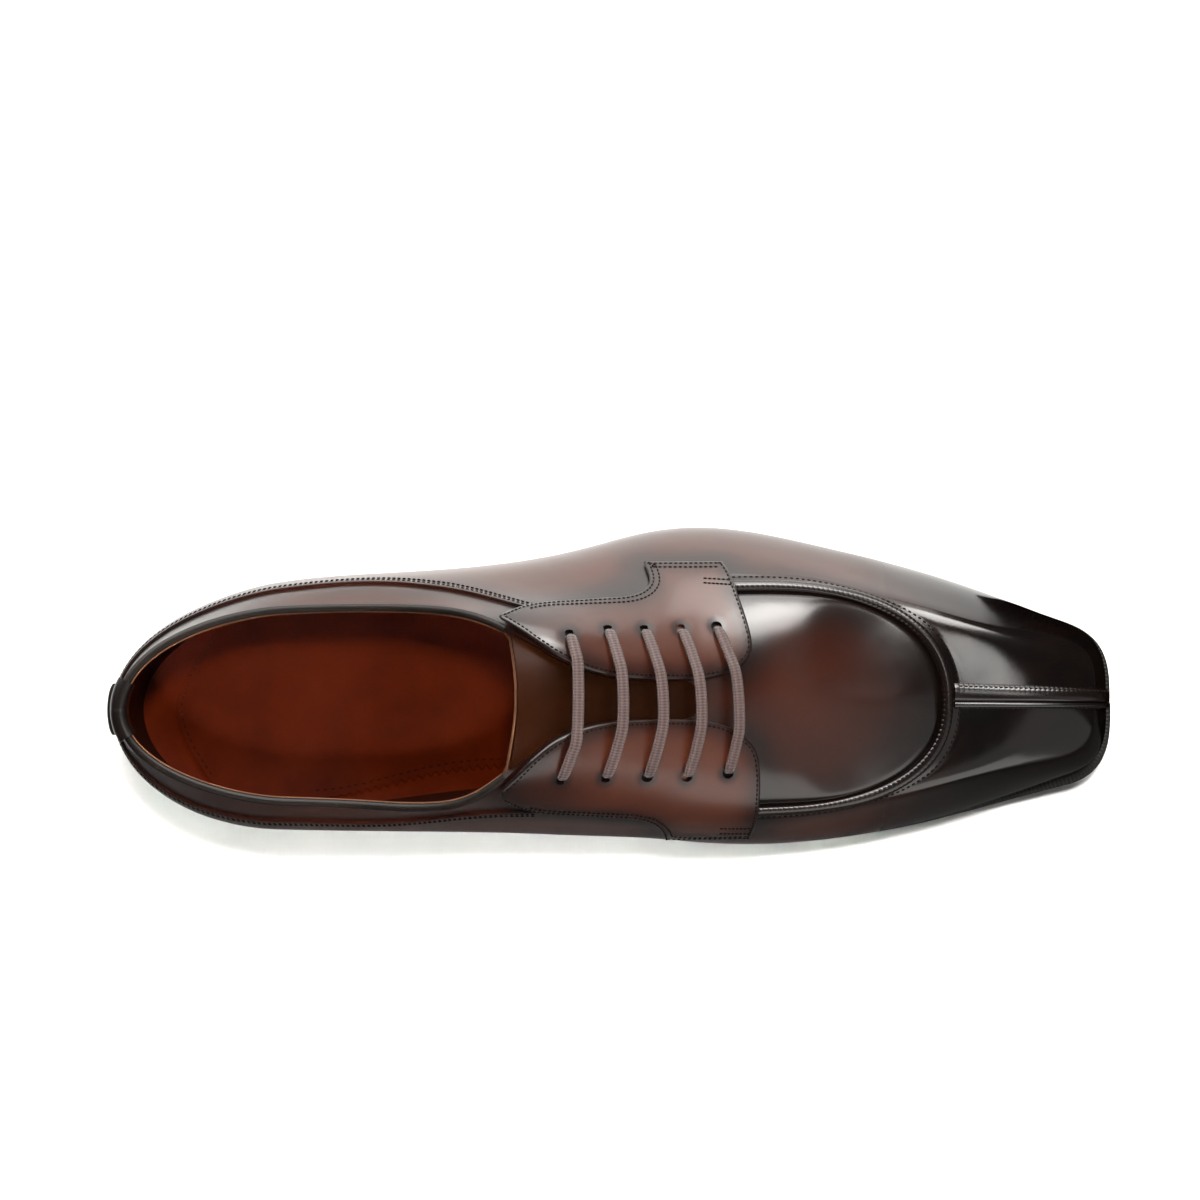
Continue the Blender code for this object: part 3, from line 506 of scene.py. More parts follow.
def add_plate(name: str, grow: Callable[[Array], Array], rim: Sequence[Pair],
              base: Callable[[Array], Array], rows: int = 281, across: int = 22,
              bunched: float = 0.014) -> Piece:
    """Add a plate of the sole as closed sections across the foot, from heel to toe.

    Args:
        name: The piece's name.
        grow: Distance of its edge outside the feather line, for places round the last.
        rim: Rows of inset and height of its edge, from the underside to the upper face.
        base: Height of its underside for stations.
        rows: Sections along the foot.
        across: Points across each face.
        bunched: Share of the foot at each end that has no section but its end, as they would bunch up.

    Returns:
        The closed piece.
    """
    shares = 0.5 * (1 - np.cos(np.linspace(0.0, math.pi, rows)))
    shares = np.concatenate([[0.0], shares[(shares > bunched) & (shares < 1 - bunched)], [1.0]])
    medial, lateral = ([LAST.outline(places, grow(places) - inset) for inset, _ in rim]
                       for places in (2.0 - shares, shares))
    blend = np.linspace(0.0, 1.0, across)[1:-1]
    section = [(medial[0] + (lateral[0] - medial[0]) * share, rim[0][1]) for share in blend]
    section += [(lateral[i], row[1]) for i, row in enumerate(rim)]
    section += [(lateral[-1] + (medial[-1] - lateral[-1]) * share, rim[-1][1]) for share in blend]
    section += [(medial[i], rim[i][1]) for i in reversed(range(len(rim)))]
    section.append(section[0])
    return add_body(name, [at_height(place, base(place[:, 0]) + height) for place, height in section])


def weld(piece: Piece, fill: bool = False, outward: bool = False, distance: float = 1e-5) -> None:
    """Merge a piece's doubled vertices in edit mode.

    Args:
        piece: The piece.
        fill: Close its open ends.
        outward: Turn the faces of a closed body outwards.
        distance: How near merged vertices lie, in metres.
    """
    activate(piece)
    bpy.ops.object.mode_set(mode="EDIT")
    bpy.ops.mesh.select_all(action="SELECT")
    bpy.ops.mesh.remove_doubles(threshold=distance)
    if fill:
        bpy.ops.mesh.select_all(action="SELECT")
        bpy.ops.mesh.fill_holes(sides=0)
    if outward:
        bpy.ops.mesh.select_all(action="SELECT")
        bpy.ops.mesh.normals_make_consistent(inside=False)
    bpy.ops.object.mode_set(mode="OBJECT")


def thicken(piece: Piece, thick: float, **settings: object) -> None:
    """Give a sheet a thickness behind its face, with more settings of the modifier if any."""
    activate(piece)
    modifier = piece.modifiers.new("solidify", "SOLIDIFY")
    for key, value in {"thickness": thick * MM, "offset": -1.0, **settings}.items():
        setattr(modifier, key, value)
    bpy.ops.object.modifier_apply(modifier=modifier.name)


def shade_smooth(piece: Piece, degrees: float) -> None:
    """Shade a piece smooth up to an angle."""
    activate(piece)
    bpy.ops.object.shade_smooth_by_angle(angle=math.radians(degrees))


def burnish(piece: Piece, tone: Array | float, shine: Array | float) -> None:
    """Store the tone, 0 black to 1 tan, and the shine that the calf reads at each vertex."""
    for name, values in (("tone", tone), ("shine", shine)):
        attribute = piece.data.attributes.new(name, "FLOAT", "POINT")
        spread = np.broadcast_to(np.ravel(values), len(piece.data.vertices))
        attribute.data.foreach_set("value", spread.astype(np.float32))


def vertex_points(piece: Piece) -> Array:
    """Return a piece's vertices in millimetres on the last."""
    flat = np.empty(len(piece.data.vertices) * 3, np.float32)
    piece.data.vertices.foreach_get("co", flat)
    return flat.reshape(-1, 3) / MM + np.array([LAST.length_centre, LAST.side_centre, 0.0])


def distance_to(points: Array, line: Array) -> Array:
    """Return how far points lie from the nearest point of a finely drawn line."""
    tree = KDTree(len(line))
    for i, place in enumerate(line):
        tree.insert(place, i)
    tree.balance()
    return np.array([tree.find(point)[2] for point in points.reshape(-1, 3)]).reshape(points.shape[:-1])


def lattice_tree(grid: Array) -> BVHTree:
    """Return a search tree of a lattice of points, on which rays can be cast."""
    rows, columns = grid.shape[:2]
    index = np.arange(rows * columns).reshape(rows, columns)
    faces = np.stack([index[:-1, :-1], index[:-1, 1:], index[1:, 1:], index[1:, :-1]], axis=-1).reshape(-1, 4)
    return BVHTree.FromPolygons(grid.reshape(-1, 3).tolist(), faces.tolist())


def cast(tree: BVHTree, origins: Array, directions: Array) -> Array:
    """Return where rays meet a lattice; a ray that misses keeps its origin."""
    found = origins.copy()
    for place, origin, direction in zip(found, origins, directions):
        hit = tree.ray_cast(Vector(origin), Vector(direction))[0]
        if hit is not None:
            place[:] = hit
    return found


def resample(points: Array, pitch: float) -> Array:
    """Return points at even steps along a line."""
    run = run_along(points)
    count = max(2, int(round(run[-1] / pitch)) + 1)
    where = np.linspace(0.0, run[-1], count)
    return np.stack([np.interp(where, run, points[:, k]) for k in range(points.shape[1])], axis=1)


def smooth_through(points: Sequence[Sequence[float]], pitch: float) -> Array:
    """Return a smooth line through a few points, with points at even steps."""
    knots = np.asarray(points, float)
    chords = np.sqrt(np.linalg.norm(np.diff(knots, axis=0), axis=1))
    where = np.concatenate([[0.0], np.cumsum(chords)])
    fine = np.linspace(0.0, where[-1], 40 * len(knots))
    curve = np.stack([Spline(where, knots[:, k])(fine) for k in range(knots.shape[1])], axis=1)
    return resample(curve, pitch)


def dress(piece: Piece, materials: Sequence[Material], slot: str, *nodes: str,
          smooth: float | None = None) -> Piece:
    """Give a piece its materials and its body, and hide the nodes that it stands for.

    Args:
        piece: The finished piece.
        materials: Materials in the order of the mesh's material indices.
        slot: Not used.
        nodes: CAD nodes that the piece replaces.
        smooth: Degrees up to which its edges are shaded smooth, if they aren't yet.

    Returns:
        The same piece.
    """
    if smooth is not None:
        shade_smooth(piece, smooth)
    piece.data.materials.clear()
    for material in materials:
        piece.data.materials.append(material)
    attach(piece, BODY)
    if nodes:
        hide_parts(*nodes)
    log.info("%s: %d faces", piece.name, len(piece.data.polygons))
    return piece


class Stop(NamedTuple):
    """One stop of a colour ramp."""

    place: float
    colour: Colour


class Shader:
    """A Principled material while its nodes are being joined."""

    def __init__(self, name: str) -> None:
        """Make the material with its shader node."""
        self.material = bpy.data.materials.new(name)
        self.material.use_nodes = True
        self.tree = self.material.node_tree
        self.surface = self.tree.nodes["Principled BSDF"]

    def set(self, **values: float) -> None:
        """Set constants on the shader's own sockets, named with underscores for spaces."""
        for key, value in values.items():
            self.surface.inputs[key.replace("_", " ")].default_value = value

    def node(self, kind: str, **settings: object) -> bpy.types.Node:
        """Add a node and set its properties."""
        node = self.tree.nodes.new(kind)
        for key, value in settings.items():
            setattr(node, key, value)
        return node

    def link(self, source: Socket, target: Socket) -> None:
        """Join two sockets."""
        self.tree.links.new(source, target)

    def attribute(self, name: str) -> Socket:
        """Return the socket of a vertex attribute."""
        return self.node("ShaderNodeAttribute", attribute_name=name).outputs["Fac"]

    def coordinates(self, name: str = "Object",
                    scale: Sequence[float] = (1.0, 1.0, 1.0)) -> Socket:
        """Return texture coordinates, stretched."""
        source = self.node("ShaderNodeTexCoord").outputs[name]
        mapping = self.node("ShaderNodeMapping")
        mapping.inputs["Scale"].default_value = scale
        self.link(source, mapping.inputs["Vector"])
        return mapping.outputs["Vector"]

    def noise(self, scale: float, detail: float = 4.0, stretch: Sequence[float] = (1.0, 1.0, 1.0),
              rough: float = 0.55) -> Socket:
        """Return a noise over the piece's own metres."""
        texture = self.node("ShaderNodeTexNoise")
        texture.inputs["Scale"].default_value = scale
        texture.inputs["Detail"].default_value = detail
        texture.inputs["Roughness"].default_value = rough
        self.link(self.coordinates("Object", stretch), texture.inputs["Vector"])
        return texture.outputs["Fac"]

    def math(self, operation: str, first: object, second: object) -> Socket:
        """Return the result of a sum on sockets or numbers."""
        node = self.node("ShaderNodeMath", operation=operation)
        for socket, value in zip(node.inputs, (first, second)):
            if isinstance(value, Socket):
                self.link(value, socket)
            else:
                socket.default_value = value
        return node.outputs["Value"]

    def spread(self, value: Socket, low: float, high: float, start: float = 0.0,
               end: float = 1.0) -> Socket:
        """Return a value mapped from one range to another."""
        node = self.node("ShaderNodeMapRange")
        self.link(value, node.inputs["Value"])
        for key, number in (("From Min", start), ("From Max", end), ("To Min", low), ("To Max", high)):
            node.inputs[key].default_value = number
        return node.outputs["Result"]

    def ramp(self, value: Socket, stops: Sequence[Stop]) -> Socket:
        """Return a colour ramp over a value."""
        node = self.node("ShaderNodeValToRGB")
        elements = node.color_ramp.elements
        while len(elements) < len(stops):
            elements.new(0.5)
        for element, stop in zip(elements, stops):
            element.position = stop.place
            element.color = (*stop.colour, 1.0)
        self.link(value, node.inputs["Fac"])
        return node.outputs["Color"]

    def paint(self, colour: Socket, roughness: Socket | None = None) -> None:
        """Join a colour and a roughness to the shader."""
        self.link(colour, self.surface.inputs["Base Color"])
        if roughness is not None:
            self.link(roughness, self.surface.inputs["Roughness"])

    def bump(self, layers: Sequence[tuple[Socket, float]]) -> None:
        """Join bump layers to the shader, each a height from 0 to 1 and its depth in metres."""
        normal = None
        for height, depth in layers:
            node = self.node("ShaderNodeBump")
            node.inputs["Distance"].default_value = depth
            self.link(height, node.inputs["Height"])
            if normal is not None:
                self.link(normal, node.inputs["Normal"])
            normal = node.outputs["Normal"]
        self.link(normal, self.surface.inputs["Normal"])


@dataclass(frozen=True)
class BurnishedCalf:
    """Polished calf: warm brown in the middle of a panel, burnished to black at edges, seams and toe."""

    name: str = "burnished_calf"
    black: Colour = (0.0015, 0.0012, 0.0011)
    dark: Colour = (0.0065, 0.0024, 0.0017)
    brown: Colour = (0.022, 0.0052, 0.0025)
    tan: Colour = (0.050, 0.0135, 0.0062)
    matt: float = 0.36
    mirror: float = 0.1
    coat: float = 0.08
    coat_roughness: float = 0.1
    specular: float = 0.5
    brushing: float = 55.0
    clouds: float = 24.0
    mottle: float = 0.16
    patchy: float = 0.1
    grain: float = 2400.0
    grain_depth: float = 0.000012
    waves: float = 38.0
    wave_depth: float = 0.0003

    def build(self) -> Material:
        """Return the material, which reads the attributes tone and shine."""
        shader = Shader(self.name)
        brushed = shader.noise(self.brushing, 5.0, (1.0, 2.2, 1.6), 0.6)
        cloudy = shader.noise(self.clouds, 2.0)
        tone = shader.attribute("tone")
        for mottling in (brushed, cloudy):
            tone = shader.math("ADD", tone, shader.spread(mottling, -self.mottle, self.mottle))
        stops = [Stop(0.0, self.black), Stop(0.3, self.dark), Stop(0.68, self.brown), Stop(1.0, self.tan)]
        worn = shader.math("ADD", shader.attribute("shine"), shader.spread(cloudy, -self.patchy, self.patchy))
        shader.paint(shader.ramp(tone, stops), shader.spread(worn, self.matt, self.mirror))
        shader.bump([(shader.noise(self.grain, 3.0), self.grain_depth),
                     (shader.noise(self.waves, 2.0), self.wave_depth)])
        shader.set(Coat_Weight=self.coat, Coat_Roughness=self.coat_roughness,
                   Specular_IOR_Level=self.specular)
        return shader.material


@dataclass(frozen=True)
class PlainLeather:
    """Leather of one colour with soft clouds and a grain."""

    name: str
    low: Colour
    high: Colour
    roughness: float = 0.5
    cloud: float = 60.0
    grain: float = 1500.0
    depth: float = 0.00004
    coat: float = 0.0
    coat_roughness: float = 0.15
    specular: float = 0.5

    def build(self) -> Material:
        """Return the material."""
        shader = Shader(self.name)
        clouds = shader.noise(self.cloud, 5.0)
        grain = shader.noise(self.grain, 3.0)
        mixed = shader.math("ADD", shader.spread(clouds, -0.15, 0.95), shader.spread(grain, 0.0, 0.2))
        rough = shader.spread(grain, self.roughness - 0.06, self.roughness + 0.08)
        shader.paint(shader.ramp(mixed, [Stop(0.2, self.low), Stop(0.8, self.high)]), rough)
        shader.bump([(grain, self.depth)])
        shader.set(Coat_Weight=self.coat, Coat_Roughness=self.coat_roughness,
                   Specular_IOR_Level=self.specular)
        return shader.material


@dataclass(frozen=True)
class WovenLace:
    """Waxed flat lace, woven in small dots that follow its length."""

    name: str = "woven_lace"
    low: Colour = (0.016, 0.009, 0.0085)
    high: Colour = (0.092, 0.060, 0.056)
    pitch: float = 1.7
    ends: float = 2.0
    depth: float = 0.00016

    def build(self, length: float) -> Material:
        """Return the material for a lace of a length in millimetres, which reads the UV map."""
        shader = Shader(self.name)
        parts = shader.node("ShaderNodeSeparateXYZ")
        shader.link(shader.coordinates("UV"), parts.inputs["Vector"])
        across = shader.math("PINGPONG", parts.outputs["X"], 0.25)
        lean = shader.math("MULTIPLY", across, 4 * self.ends * math.pi)
        turn = shader.math("MULTIPLY", parts.outputs["Y"], 2 * math.pi * length / self.pitch)
        warp = shader.math("SINE", shader.math("ADD", lean, turn), 0.0)
        weft = shader.math("SINE", shader.math("SUBTRACT", lean, turn), 0.0)
        woven = shader.spread(shader.math("MULTIPLY", warp, weft), 0.0, 1.0, -1.0, 1.0)
        fuzz = shader.noise(1800.0, 2.0)
        mixed = shader.math("ADD", shader.spread(woven, 0.0, 0.8), shader.spread(fuzz, 0.0, 0.35))
        shader.paint(shader.ramp(mixed, [Stop(0.1, self.low), Stop(0.9, self.high)]))
        shader.bump([(mixed, self.depth)])
        shader.set(Roughness=0.6, Sheen_Weight=0.15, Specular_IOR_Level=0.3)
        return shader.material


@dataclass(frozen=True)
class Finishes:
    """Every finish of the shoe."""

    calf: BurnishedCalf = BurnishedCalf()
    tongue: BurnishedCalf = BurnishedCalf(
        "tongue_calf", dark=(0.008, 0.0022, 0.0006), brown=(0.022, 0.0056, 0.0014), matt=0.45, mirror=0.3,
        coat=0.0, specular=0.06)
    lining: PlainLeather = PlainLeather(
        "rust_lining", (0.030, 0.0031, 0.0005), (0.057, 0.0066, 0.0011), 0.7, specular=0.12)
    sock: PlainLeather = PlainLeather(
        "rust_sock", (0.023, 0.0024, 0.0004), (0.044, 0.005, 0.0008), 0.7, specular=0.12)
    raw_edge: PlainLeather = PlainLeather(
        "raw_edge", (0.08, 0.03, 0.013), (0.17, 0.075, 0.038), 0.7, specular=0.2)
    edge_ink: PlainLeather = PlainLeather(
        "black_edge_ink", (0.004, 0.0038, 0.0035), (0.012, 0.011, 0.010), 0.5, specular=0.25)
    # Near-black painted shade for the discs under the lace holes
    eyelet: PlainLeather = PlainLeather(
        "eyelet_enamel", (0.001, 0.001, 0.001), (0.003, 0.0027, 0.0025), 0.6, specular=0.1)
    binding: PlainLeather = PlainLeather(
        "collar_edge", (0.003, 0.0026, 0.0022), (0.010, 0.0065, 0.005), 0.45, specular=0.25)
    thread: PlainLeather = PlainLeather(
        "waxed_thread", (0.002, 0.0015, 0.0013), (0.008, 0.005, 0.004), 0.75, specular=0.12)
    sock_thread: PlainLeather = PlainLeather(
        "rust_thread", (0.012, 0.002, 0.0008), (0.03, 0.005, 0.002), 0.7, specular=0.1)
    sole: PlainLeather = PlainLeather(
        "stained_sole", (0.012, 0.008, 0.006), (0.04, 0.024, 0.016), 0.42, coat=0.1)
    rubber: PlainLeather = PlainLeather(
        "heel_rubber", (0.010, 0.010, 0.010), (0.022, 0.021, 0.020), 0.7)


@dataclass
class Stitching:
    """Rows of stitches gathered into one mesh for each thread."""

    pitch: float = 1.55
    length: float = 1.2
    width: float = 0.55
    height: float = 0.42
    rows: list[tuple[Array, Array, Array]] = field(default_factory=list)

    def add(self, points: Array, normals: Array, pitch: float | None = None) -> None:
        """Lay stitches along a line on a surface.

        Args:
            points: The line.
            normals: Surface normals at its points.
            pitch: Length of a stitch with its gap, if not the usual one.
        """
        both = resample(np.concatenate([points, normals], axis=1), pitch or self.pitch)
        middle = (both[1:] + both[:-1]) / 2
        run = unit(both[1:, :3] - both[:-1, :3])
        self.rows.append((middle[:, :3], run, unit(middle[:, 3:])))

    def build(self, name: str, material: Material, slot: str) -> Piece:
        """Return all rows as one mesh of small rounded stitches."""
        bpy.ops.object.select_all(action="DESELECT")
        bpy.ops.mesh.primitive_uv_sphere_add(segments=6, ring_count=5, radius=0.5)
        model = bpy.context.object
        flat = np.empty(len(model.data.vertices) * 3)
        model.data.vertices.foreach_get("co", flat)
        shape = flat.reshape(-1, 3) @ np.array([[0, 0, 1], [1, 0, 0], [0, 1, 0]], float)
        shape = shape * np.array([self.length, self.width, self.height])
        faces = [tuple(face.vertices) for face in model.data.polygons]
        bpy.data.objects.remove(model)
        middle, run, up = (np.concatenate(column) for column in zip(*self.rows))
        side = unit(np.cross(up, run))
        up = np.cross(run, side)
        axes = np.stack([run, side, up], axis=1)
        points = middle[:, None, :] + np.einsum("vk,nkc->nvc", shape, axes)
        count = len(shape)
        all_faces = [tuple(v + n * count for v in face) for n in range(len(middle)) for face in faces]
        piece = add_mesh(name, points.reshape(-1, 3), all_faces)
        return dress(piece, [material], slot, smooth=180.0)


@dataclass
class Shop:
    """What the sub-assemblies share: built materials and the stitch rows."""

    calf: Material
    lining: Material
    raw_edge: Material
    edge_ink: Material
    binding: Material
    thread: Material
    sock_thread: Material
    sole: Material
    rubber: Material
    tongue: Material
    eyelet: Material
    sock: Material
    stitches: Stitching = field(default_factory=Stitching)
    inner_stitches: Stitching = field(default_factory=Stitching)

    @classmethod
    def open(cls, finishes: Finishes) -> "Shop":
        """Return the shop with each finish built once."""
        return cls(**{finish.name: getattr(finishes, finish.name).build() for finish in fields(finishes)})


@dataclass
class Sole:
    """Outsole, welt with its wheeled edge, and the stacked heel with a rubber top piece."""

    reach: float = 2.6
    rib: float = 1.25
    rib_depth: float = 0.28
    rib_inset: float = 0.6
    rib_sink: float = 0.8
    heel_breast: float = 63.0
    heel_taper: float = 0.045
    top_piece: float = 5.2
    lifts: tuple[float, ...] = (9.4, 13.4, 17.4)
    groove: float = 0.22
    round_edge: float = 0.9
    sole_stitch_inset: float = 5.0
    sole_stitch: float = 3.2
    sewn: Pair = (0.42, 1.58)

    def build(self, shop: Shop) -> None:
        """Build and dress the three pieces."""
        self.build_outsole(shop)
        self.build_welt(shop)
        self.build_heel(shop)

    def build_outsole(self, shop: Shop) -> None:
        """Build the sole plate with its rounded edge, inked at the side and stained below."""
        corner = np.array([(1.0, 0.0), (0.4, 0.12), (0.1, 0.45), (0.0, 1.0)]) * self.round_edge
        rim = [*corner, *((inset, LAST.outsole - height) for inset, height in corner[::-1])]
        piece = add_plate("outsole_leather", LAST.edge_grow, rim, LAST.tread)
        for face in piece.data.polygons:
            face.material_index = 1 if face.normal.z < -0.8 else 0
        dress(piece, [shop.edge_ink, shop.sole], "sole_leather", "outsole", smooth=40.0)
        around = np.linspace(*self.sewn, 500)
        row = LAST.outline(around, np.full(around.shape, -self.sole_stitch_inset))
        row[:, 2] = LAST.tread(row[:, 0])
        shop.stitches.add(row, np.tile([0.0, 0.0, -1.0], (len(row), 1)), self.sole_stitch)

    def build_welt(self, shop: Shop) -> None:
        """Build the welt as a ring whose outer edge is wheeled in fine ribs."""
        samples = 3200
        around = np.linspace(0.0, 2.0, samples + 1)
        edge = LAST.outline(around, LAST.edge_grow(around))
        run = run_along(edge)
        ribs = round(run[-1] / self.rib)
        wave = 0.5 - 0.5 * np.cos(2 * math.pi * ribs * run / run[-1])
        rib = self.rib_depth * wave ** 2
        inner = LAST.outline(around, np.full(around.shape, -self.reach))
        outward = unit(edge - inner)
        base = LAST.tread(edge[:, 0]) + LAST.outsole + LAST.gap
        # Inset from the edge, height, and how much of the ribs' depth shows there
        section = [(0.25, 0.0, 0.0), (0.0, 0.35, 0.0), (0.0, 1.3, 0.0), (0.1, 1.9, 0.6), (0.45, 2.4, 1.0),
                   (1.3, 2.5, 1.0), (2.1, 2.5, 0.7), (3.0, 2.45, 0.0)]
        columns = []
        for inset, height, ribbed in section:
            place = edge - (inset + self.rib_inset * ribbed * rib)[:, None] * outward
            columns.append(at_height(place, base + height - self.rib_sink * ribbed * rib))
        columns += [at_height(inner, base + height) for height in (LAST.welt, 0.0)]
        piece = add_body("welt_strip", [*columns, columns[0]])
        dress(piece, [shop.edge_ink], "sole_leather", "welt", smooth=50.0)

    def build_heel(self, shop: Shop) -> None:
        """Build the stacked heel: a ring of its outline drawn up through its lifts."""
        shares = np.linspace(0.0, float(LAST.round_at(self.heel_breast, Side.LATERAL)), 70)
        sides = [LAST.outline(places, LAST.edge_grow(places)) for places in (shares, 2.0 - shares)]
        for side in sides:
            side[-1, 0] = self.heel_breast
        breast = sides[0][-1] + (sides[1][-1] - sides[0][-1]) * np.linspace(0.0, 1.0, 30)[1:-1, None]
        ring = np.concatenate([sides[0], breast, sides[1][::-1]])
        middle = np.array([self.heel_breast, float(LAST.axis(self.heel_breast)), 0.0])
        centre = np.array([ring[:, 0].mean(), ring[:, 1].mean(), 0.0])
        inward = unit(centre - ring)
        # Height and inset: the rounded foot, a groove at each joint of the lifts, and the top
        rows = [(0.0, 0.7), (0.5, 0.15), (1.2, 0.0)]
        notch = ((-0.4, 0.0), (-0.12, self.groove), (0.12, self.groove), (0.4, 0.0))
        for joint in (self.top_piece, *self.lifts):
            rows += [(joint + step, inset) for step, inset in notch]
        tall = LAST.heel_rise - LAST.gap
        rows.append((tall, 0.0))
        columns = []
        for height, inset in rows:
            share = height / tall
            shrink = 1 - self.heel_taper * (1 - share)
            place = middle + (ring - middle) * shrink + inset * inward
            columns.append(at_height(place, share * (LAST.tread(ring[:, 0]) - LAST.gap)))
        piece = add_body("heel_stack", columns, fill=True)
        heights = vertex_points(piece)[:, 2]
        for face in piece.data.polygons:
            low = max(heights[v] for v in face.vertices) < self.top_piece + 0.05
            face.material_index = 1 if low else 0
        dress(piece, [shop.edge_ink, shop.rubber], "sole_leather", "heel", smooth=35.0)


@dataclass
class Inside:
    """Insole and the sock on it, with a pinked edge along the arch."""

    inset: float = 1.7
    thick: float = 3.2
    sock_thick: float = 1.2
    sock_gap: float = 0.1
    sock_inset: float = 4.2
    sock_back: float = 16.0
    sock_back_bow: float = 12.0
    sock_front: float = 160.0
    arch_start: float = 62.0
    arch_end: float = 116.0
    arch_half: float = 20.6
    pink_pitch: float = 2.6
    pink_depth: float = 1.6
    stitch: float = 2.4
    stitch_inset: float = 2.4
    back_stitch_inset: float = 1.8
    back_stitch_half: float = 27.0
    back_stitch_round: Pair = (50.5, 46.0)

    def top(self, station: Array) -> Array:
        """Return the height of the insole's upper face."""
        return LAST.tread(station) + LAST.outsole + LAST.gap + self.thick

    def build(self, shop: Shop) -> None:
        """Build and dress both pieces."""
        self.build_insole(shop)
        self.build_sock(shop)

    def build_insole(self, shop: Shop) -> None:
        """Build the insole, its rim turned up to the wall of the upper."""
        top = self.thick
        rim = [(1.4, 0.0), (1.2, 2.2), (0.3, top - 0.3), (-0.9, top + 0.5), (-1.1, top + 1.3),
               (0.4, top + 1.1), (1.6, top + 0.35), (4.0, top)]
        piece = add_plate("insole_board", lambda places: np.full(places.shape, -self.inset), rim,
                          lambda station: self.top(station) - self.thick)
        dress(piece, [shop.lining], "lining_leather", "insole", smooth=60.0)

    def on_sock(self, station: Array) -> Array:
        """Return the height of the sock's upper face."""
        return self.top(station) + self.sock_thick + self.sock_gap

    def medial_edge(self, station: Array) -> Array:
        """Return the sock's half width on the medial side."""
        wall = LAST.curves[0][1](station) - self.sock_inset
        ahead = ramp(station, self.arch_start, self.arch_end)
        return wall + (self.arch_half - wall) * ahead

    def build_sock(self, shop: Shop) -> None:
        """Build the sock: a thin sheet with a bowed back end and a pinked medial edge."""
        along = np.linspace(0.0, 1.0, 460)
        across = np.linspace(-1.0, 1.0, 25)
        back = self.sock_back + self.sock_back_bow * across ** 2
        station = back[None, :] + (self.sock_front - back[None, :]) * along[:, None]
        ends = LINES[0].ends
        behind = np.clip((ends.heel + ends.heel_round - station) / ends.heel_round, 0.0, 1.0)
        rounding = np.sqrt(1 - behind ** 2)
        lateral = (LAST.curves[0][0](station) - self.sock_inset) * rounding
        teeth = np.abs(((station / self.pink_pitch) % 1.0) * 2 - 1)
        shown = smoothstep((station - self.arch_start) / 10.0)
        medial = (self.medial_edge(station) + self.pink_depth * (teeth - 0.5) * shown) * rounding
        half = np.where(across[None, :] > 0, medial, lateral)
        sheet = [station, LAST.axis(station) - across[None, :] * half, self.on_sock(station)]
        piece = add_grid("sock_lining", np.stack(sheet, axis=-1))
        thicken(piece, self.sock_thick)
        dress(piece, [shop.sock], "lining_leather", smooth=40.0)
        self.sew_sock(shop)

    def sew_sock(self, shop: Shop) -> None:
        """Lay the stitch rows along the sock's medial edge and its back end."""
        medial = np.linspace(self.arch_start - 4.0, self.sock_front - 2.0, 160)
        turn = np.linspace(-0.9, 0.9, 80)
        back = self.sock_back + self.back_stitch_inset + self.sock_back_bow * turn ** 2
        start, run = self.back_stitch_round
        width = self.back_stitch_half * np.sqrt(1 - np.clip((start - back) / run, 0.0, 1.0) ** 2)
        for station, side in ((medial, LAST.axis(medial) - self.medial_edge(medial) + self.stitch_inset),
                              (back, LAST.axis(back) - turn * width)):
            row = np.stack([station, side, self.on_sock(station)], axis=1)
            shop.inner_stitches.add(row, np.tile([0.0, 0.0, 1.0], (len(row), 1)), self.stitch)


@dataclass
class Relief:
    """Low relief of the upper along its seams, as distances outside the last."""

    roll: float = 0.16
    roll_at: float = -0.9
    border: float = 0.22
    border_run: Pair = (-6.0, -3.0)
    channel: float = 0.3
    channel_at: float = -3.6
    narrow: float = 0.8
    groove: float = 0.95
    groove_at: float = 1.7
    groove_width: float = 1.2
    front: Pair = (178.0, 185.0)

    def rise(self, station: Array, run: Array) -> Array:
        """Return the relief.

        Args:
            station: Stations of the points.
            run: Distances of the points above the seam line, along the wall.

        Returns:
            Distances outside the last's face, without the collar band's own step.
        """
        front = ramp(station, *self.front)
        back = 1 - ramp(station, *LAST.band_end)
        rolled = self.roll * bell(run - self.roll_at, self.narrow) * (run <= 0)
        inner = -self.groove * bell(run - self.groove_at, self.groove_width)
        raised = self.border * ramp(run, *self.border_run) * (run <= 0)
        sunk = -self.channel * bell(run - self.channel_at, self.narrow)
        return back * rolled + front * (inner + raised + sunk)


